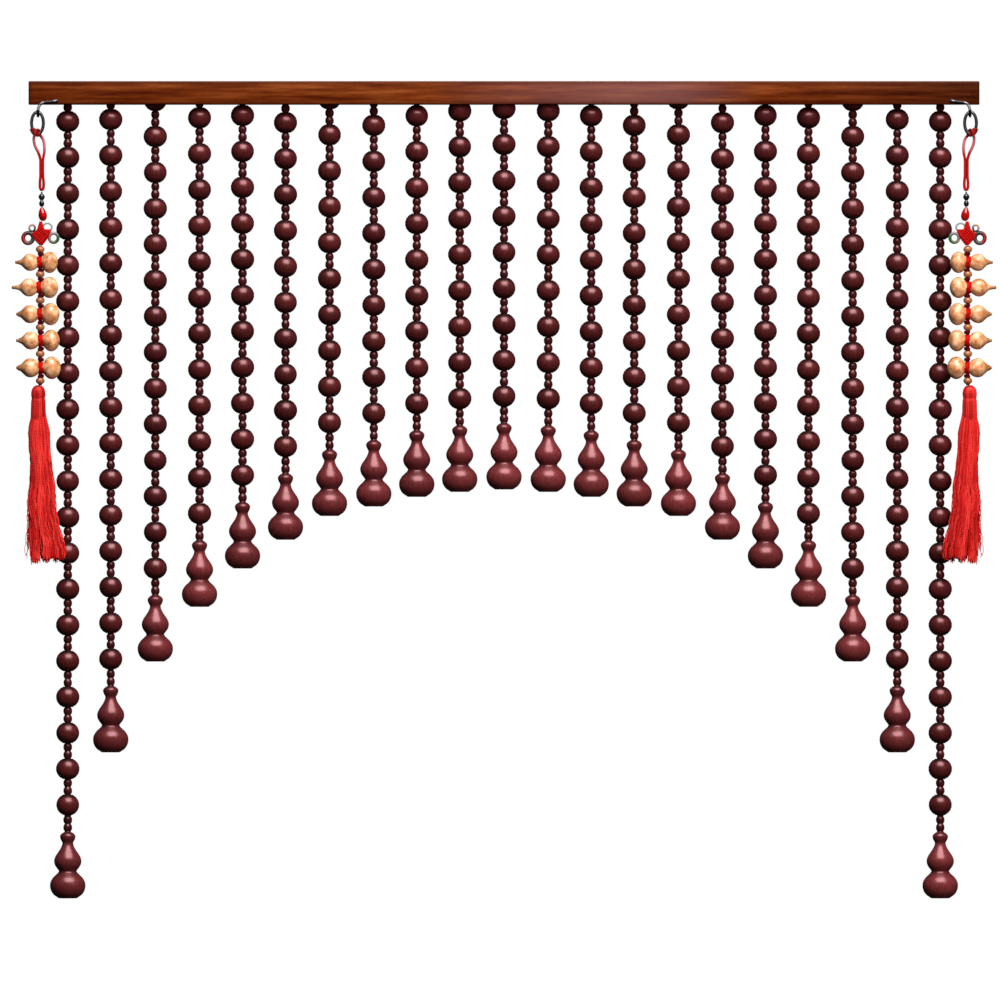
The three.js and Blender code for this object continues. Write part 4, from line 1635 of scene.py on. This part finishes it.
@dataclass
class Tassel(CharmPart):
    """The silk tassel: a bound head of threads, and a skirt that spreads and hangs in clumps."""

    x: float = -2.2
    head_rows: tuple[Row, ...] = (
        (-288.3, 1.6), (-288.9, 3.2), (-290.4, 4.9), (-293.0, 6.0), (-296.5, 6.4), (-299.2, 6.0),
        (-300.4, 5.8), (-301.8, 6.2), (-306.0, 6.5), (-311.0, 6.6), (-316.0, 6.8), (-320.0, 6.4),
    )
    # The skirt at some heights: its middle along x, and half its width and depth.
    skirt: tuple[tuple[float, float, float, float], ...] = (
        (-315.0, -2.0, 6.6, 5.8), (-319.0, -1.9, 7.3, 6.2), (-326.4, -1.9, 9.1, 6.8),
        (-332.0, -1.7, 9.8, 7.2), (-338.0, -1.3, 9.5, 7.0), (-349.0, -0.9, 9.8, 7.1),
        (-360.5, 0.4, 9.6, 7.0), (-372.0, 0.9, 10.6, 7.1), (-383.0, 1.3, 11.4, 7.3),
        (-394.6, 0.9, 12.9, 7.5), (-406.0, 1.2, 13.4, 7.6), (-417.3, 2.6, 14.3, 7.7),
        (-428.7, 3.6, 16.0, 7.9), (-437.0, 4.8, 17.6, 8.0), (-443.0, 5.2, 18.5, 8.0),
        (-452.0, 5.5, 18.9, 8.0),
    )
    binding: float = -289.6  # the head's threads are dyed darkest above this
    threads: int = 560
    loose_threads: int = 56
    head_threads: int = 40
    thread: float = 0.53
    foot: float = -450.0
    clumps: int = 11
    levels: int = 30
    # The waves of a clump and of a thread in it: how far they go sideways, and how many go down the skirt.
    clump_wave: tuple[float, float] = (0.8, 3.1)
    thread_wave: tuple[float, float] = (0.6, 5.2)
    crimp: tuple[float, float] = (0.22, 11.0)
    loose_wave: tuple[float, float] = (0.7, 7.4)
    gathering: float = 0.42
    core_inset: float = 0.5  # from the head's threads to the core that carries them
    core_sides: int = 24
    core_tone: float = 0.35
    head_thread: float = 0.5
    head_sides: int = 4
    head_tones: tuple[float, float] = (0.3, 0.5)  # the darkest, and what chance adds to it at most
    head_seed: int = 41
    skirt_seed: int = 7
    skirt_sides: int = 3
    tone: float = 0.5
    clump_start: float = 2.1
    clump_reach: float = 0.93
    # What chance moves each clump's foot and tone by at most, and each thread's as a rule.
    clump_drop: float = 3.5
    clump_hue: float = 0.14
    thread_drop: float = 1.7
    thread_hue: float = 0.18
    taper: tuple[float, int] = (0.35, 6)  # how much a thread thins, and how late
    flung: tuple[float, float] = (0.9, 1.3)  # how far the loose threads reach on the outer side
    held: float = 0.95  # and on the inner side
    loose_drop: tuple[float, float] = (-4.0, 12.0)
    loose_tones: tuple[float, ...] = (0.45, 0.6, 0.35, 0.7)

    def build(self) -> None:
        """Builds the head and the skirt."""
        piece = Workpiece(f"{self.side.value}_silk_tassel")
        self.build_head(piece)
        self.build_skirt(piece)
        self.hang(piece, SILK, "tassel", "red_silk")

    def build_head(self, piece: Workpiece) -> None:
        """Turns the head's core and lays threads down over it.

        Args:
            piece: The tassel's mesh.
        """
        core = [(z, radius - self.core_inset) for z, radius in reversed(self.head_rows)]
        piece.turn(core, self.core_sides, self.core_tone, Matrix.Translation((self.x, self.plane, 0)))
        chance = random.Random(self.head_seed)
        paths = []
        for i in range(self.head_threads):
            angle = math.tau * i / self.head_threads
            points = [
                Vector((self.x + radius * math.cos(angle), self.plane + radius * math.sin(angle), z))
                for z, radius in self.head_rows
            ]
            paths.append(eased(points, 2))
        darkest, spread = self.head_tones
        tones = [darkest + spread * chance.random() for _ in paths]
        for vert in piece.draw_out(paths, self.head_thread, self.head_sides, tones=tones):
            if vert.co.z > self.binding:
                vert[piece.tone] = 0.0

    def outline(self, z: float) -> tuple[float, float, float]:
        """Gives the skirt's middle and half its width and depth at a height.

        Args:
            z: The height.

        Returns:
            The middle along x, half the width and half the depth.
        """
        z = max(min(z, self.skirt[0][0]), self.skirt[-1][0])
        for above, below in pairwise(self.skirt):
            if z >= below[0]:
                share = (above[0] - z) / (above[0] - below[0])
                middle, wide, deep = (a + (b - a) * share for a, b in zip(above[1:], below[1:]))
                return middle, wide, deep
        return self.skirt[-1][1:]

    def build_skirt(self, piece: Workpiece) -> None:
        """Hangs the skirt's threads, which gather into clumps towards their tips.

        Args:
            piece: The tassel's mesh.
        """
        chance = random.Random(self.skirt_seed)
        golden = math.pi * (3 - math.sqrt(5))
        centres = []
        for i in range(self.clumps):
            reach = math.sqrt((i + 0.6) / self.clumps) * self.clump_reach
            angle = self.clump_start + i * golden
            centres.append((reach * math.cos(angle), reach * math.sin(angle)))
        drops = [chance.uniform(-self.clump_drop, self.clump_drop) for _ in centres]
        hues = [chance.uniform(-self.clump_hue, self.clump_hue) for _ in centres]
        swings = [(chance.uniform(0, math.tau), chance.uniform(0, math.tau)) for _ in centres]
        paths = []
        tones = []
        for i in range(self.threads):
            reach = math.sqrt((i + 0.5) / self.threads)
            across = reach * math.cos(i * golden)
            back = reach * math.sin(i * golden)
            near = min(range(self.clumps), key=lambda c: math.dist(centres[c], (across, back)))
            foot = self.foot + drops[near] + chance.gauss(0, self.thread_drop)
            waves = [(*self.clump_wave, *swings[near]), self.wave(self.thread_wave, chance)]
            waves.append(self.wave(self.crimp, chance))
            paths.append(self.thread_path((across, back), centres[near], foot, waves))
            tones.append(min(1.0, max(0.0, self.tone + hues[near] + chance.gauss(0, self.thread_hue))))
        loss, late = self.taper
        piece.draw_out(
            paths, lambda share: self.thread * (1.0 - loss * share**late), self.skirt_sides, tones=tones
        )
        paths = []
        for i in range(self.loose_threads):
            angle = i * golden
            edge = (math.cos(angle), math.sin(angle))
            flung = chance.uniform(*self.flung) if edge[0] < 0 else self.held
            foot = self.foot + chance.uniform(*self.loose_drop)
            waves = [self.wave(self.loose_wave, chance), self.wave(self.thread_wave, chance)]
            paths.append(self.thread_path(edge, (edge[0] * flung, edge[1]), foot, waves))
        piece.draw_out(paths, self.thread / 2, self.skirt_sides, tones=self.loose_tones)

    @staticmethod
    def wave(size: tuple[float, float], chance: random.Random) -> Wave:
        """Starts a wave at random: how far it goes, how many there are, and where it starts in x and in y."""
        return *size, chance.uniform(0, math.tau), chance.uniform(0, math.tau)

    def thread_path(
        self,
        place: tuple[float, float],
        gather: tuple[float, float],
        foot: float,
        waves: Sequence[Wave],
    ) -> list[Vector]:
        """Leads one thread down the skirt.

        Args:
            place: Where it is in the skirt, -1 to 1 across and from front to back.
            gather: Where its clump draws it to, in the same way.
            foot: The height of its tip.
            waves: How far each of its waves goes, how many there are, and where each starts in x and in y.

        Returns:
            The points of its path.
        """
        top = self.skirt[0][0]
        path = []
        for level in range(self.levels):
            share = level / (self.levels - 1)
            z = top + (foot - top) * share
            middle, wide, deep = self.outline(z)
            pull = self.gathering * share**3
            across = place[0] + (gather[0] - place[0]) * pull
            back = place[1] + (gather[1] - place[1]) * pull
            side, front = middle + wide * across, -deep * back
            for far, turns, start, other in waves:
                side += far * math.sin(math.tau * turns * share + start) * math.sqrt(share)
                front += far * math.sin(math.tau * turns * share + other) * math.sqrt(share) / 2
            path.append(self.at(side, front, z))
        return path


@dataclass
class Charm:
    """A whole charm, from its hook to its tassel."""

    side: Side

    def build(self) -> None:
        """Builds its parts from the top down."""
        for part in (HookAndRing, HangingLoop, BeadStack, StarKnot, GourdRope, Tassel):
            part(self.side).build()


@dataclass
class BeadCurtain:
    """The whole curtain: the rail, its strands and the two charms."""

    strands: int = 21

    def build(self) -> None:
        """Builds everything that hangs, and what it hangs from."""
        HeadRail().build()
        for number in range(1, self.strands + 1):
            Strand(number).build()
        for side in Side:
            Charm(side).build()


# ---- the studio ----


@dataclass
class SoftBox:
    """A soft light that shines at the curtain's middle.

    Attributes:
        name: What it is called.
        azimuth: Degrees from the front towards the right.
        elevation: Degrees up.
        distance: From the curtain's middle; m.
        size: Its width and height; m.
        radiance: How bright its face is.
        glossy: Whether it shows in reflections.
    """

    name: str
    azimuth: float
    elevation: float
    distance: float
    size: tuple[float, float]
    radiance: float
    glossy: bool = True

    def build(self, target: Vector) -> None:
        """Hangs the light and turns it to the curtain.

        Args:
            target: The curtain's middle; m.
        """
        light = bpy.data.lights.new(self.name, "AREA")
        light.shape = "RECTANGLE"
        light.size, light.size_y = self.size
        light.energy = self.radiance * math.pi * self.size[0] * self.size[1]
        holder = bpy.data.objects.new(self.name, light)
        turn, rise = math.radians(self.azimuth), math.radians(self.elevation)
        way = Vector((math.sin(turn) * math.cos(rise), -math.cos(turn) * math.cos(rise), math.sin(rise)))
        holder.location = target + way * self.distance
        holder.rotation_euler = way.to_track_quat("Z", "Y").to_euler()
        holder.visible_camera = False
        holder.visible_glossy = self.glossy
        bpy.context.scene.collection.objects.link(holder)
        log.info("light %s", self.name)


@dataclass
class Studio:
    """A white room with a pale floor, soft lights and a level camera."""

    view_middle: tuple[float, float] = (-0.0033, -0.3969)  # x and z of the picture's middle; m
    view_width: float = 0.9479
    lens: float = 1000.0
    sensor: float = 36.0
    floor_height: float = -1.25
    floor_radius: float = 3.2
    floor_sides: int = 96
    floor_rough: float = 0.9
    fibre: Pattern = Pattern(4.0, 4.0, 4.0, 3.0)
    felt_white: float = 0.02  # how strongly the white room lights the curtain
    clip_end: float = 200.0
    lights: tuple[SoftBox, ...] = (
        SoftBox("key", 10, 57, 6.0, (5.4, 5.0), 11.5),
        SoftBox("fill", 27, 16, 6.0, (3.0, 3.0), 15.0, glossy=False),
        SoftBox("back", 172, 26, 6.0, (3.6, 3.6), 11.0, glossy=False),
    )

    def build(self) -> None:
        """Sets up the camera, the lights, the world and the floor."""
        scene = bpy.context.scene
        scene.view_settings.view_transform = "Standard"
        x, z = self.view_middle
        for light in self.lights:
            light.build(Vector((x, 0, z)))
        camera = bpy.data.cameras.new("front_camera")
        camera.lens = self.lens
        camera.sensor_width = self.sensor
        camera.clip_end = self.clip_end
        camera.dof.use_dof = False
        holder = bpy.data.objects.new("front_camera", camera)
        holder.location = (x, -self.view_width * self.lens / self.sensor, z)
        holder.rotation_euler = (math.pi / 2, 0, 0)
        scene.collection.objects.link(holder)
        scene.camera = holder
        self.build_world(scene)
        self.build_floor(scene)

    def build_world(self, scene: bpy.types.Scene) -> None:
        """Makes the room white to look at and dim to be lit by.

        Args:
            scene: The scene that gets the world.
        """
        world = bpy.data.worlds.new("white_room")
        world.use_nodes = True
        tree = world.node_tree
        tree.nodes.clear()
        seen = add_node(tree, "Background", {"Color": linear("#ffffff"), "Strength": 1.0})
        felt = add_node(tree, "Background", {"Color": linear("#ffffff"), "Strength": self.felt_white})
        looking = add_node(tree, "LightPath").outputs["Is Camera Ray"]
        mixed = add_node(
            tree,
            "MixShader",
            {},
            {0: looking, 1: felt.outputs["Background"], 2: seen.outputs["Background"]},
        )
        add_node(tree, "OutputWorld", {}, {"Surface": mixed.outputs["Shader"]})
        scene.world = world

    def build_floor(self, scene: bpy.types.Scene) -> None:
        """Lays the pale floor well below the curtain; a view from under it looks through it.

        Args:
            scene: The scene that gets the floor.
        """
        bm = bmesh.new()
        bmesh.ops.create_circle(bm, cap_ends=True, segments=self.floor_sides, radius=self.floor_radius)
        bmesh.ops.translate(bm, vec=(0, 0, self.floor_height), verts=bm.verts[:])
        mesh = bpy.data.meshes.new("floor")
        bm.to_mesh(mesh)
        bm.free()
        floor = bpy.data.objects.new("floor", mesh)
        material = bpy.data.materials.new("white_paper_matt")
        material.use_nodes = True
        tree = material.node_tree
        tree.nodes.clear()
        fibres = self.fibre.lay(tree, Finish.place(tree))
        stops = [(0.3, "#f0f0ee"), (0.7, "#f8f8f6")]
        paper = add_node(tree, "ValToRGB", {"stops": stops}, {"Fac": fibres})
        shader = add_node(
            tree, "BsdfPrincipled", {"Roughness": self.floor_rough}, {"Base Color": paper.outputs["Color"]}
        )
        below = add_node(tree, "NewGeometry").outputs["Backfacing"]
        clear = add_node(tree, "BsdfTransparent")
        one_sided = add_node(
            tree, "MixShader", {}, {0: below, 1: shader.outputs["BSDF"], 2: clear.outputs["BSDF"]}
        )
        add_node(tree, "OutputMaterial", {}, {"Surface": one_sided.outputs["Shader"]})
        mesh.materials.append(material)
        floor.visible_diffuse = False
        floor.visible_glossy = False
        scene.collection.objects.link(floor)


def main() -> None:
    """Builds the studio and the curtain, and notes how many CAD nodes are in the frame."""
    logging.basicConfig(level=logging.INFO, format="%(message)s")
    Studio().build()
    BeadCurtain().build()
    log.info("%d CAD nodes in the frame", len(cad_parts))


if __name__ == "__main__":
    main()
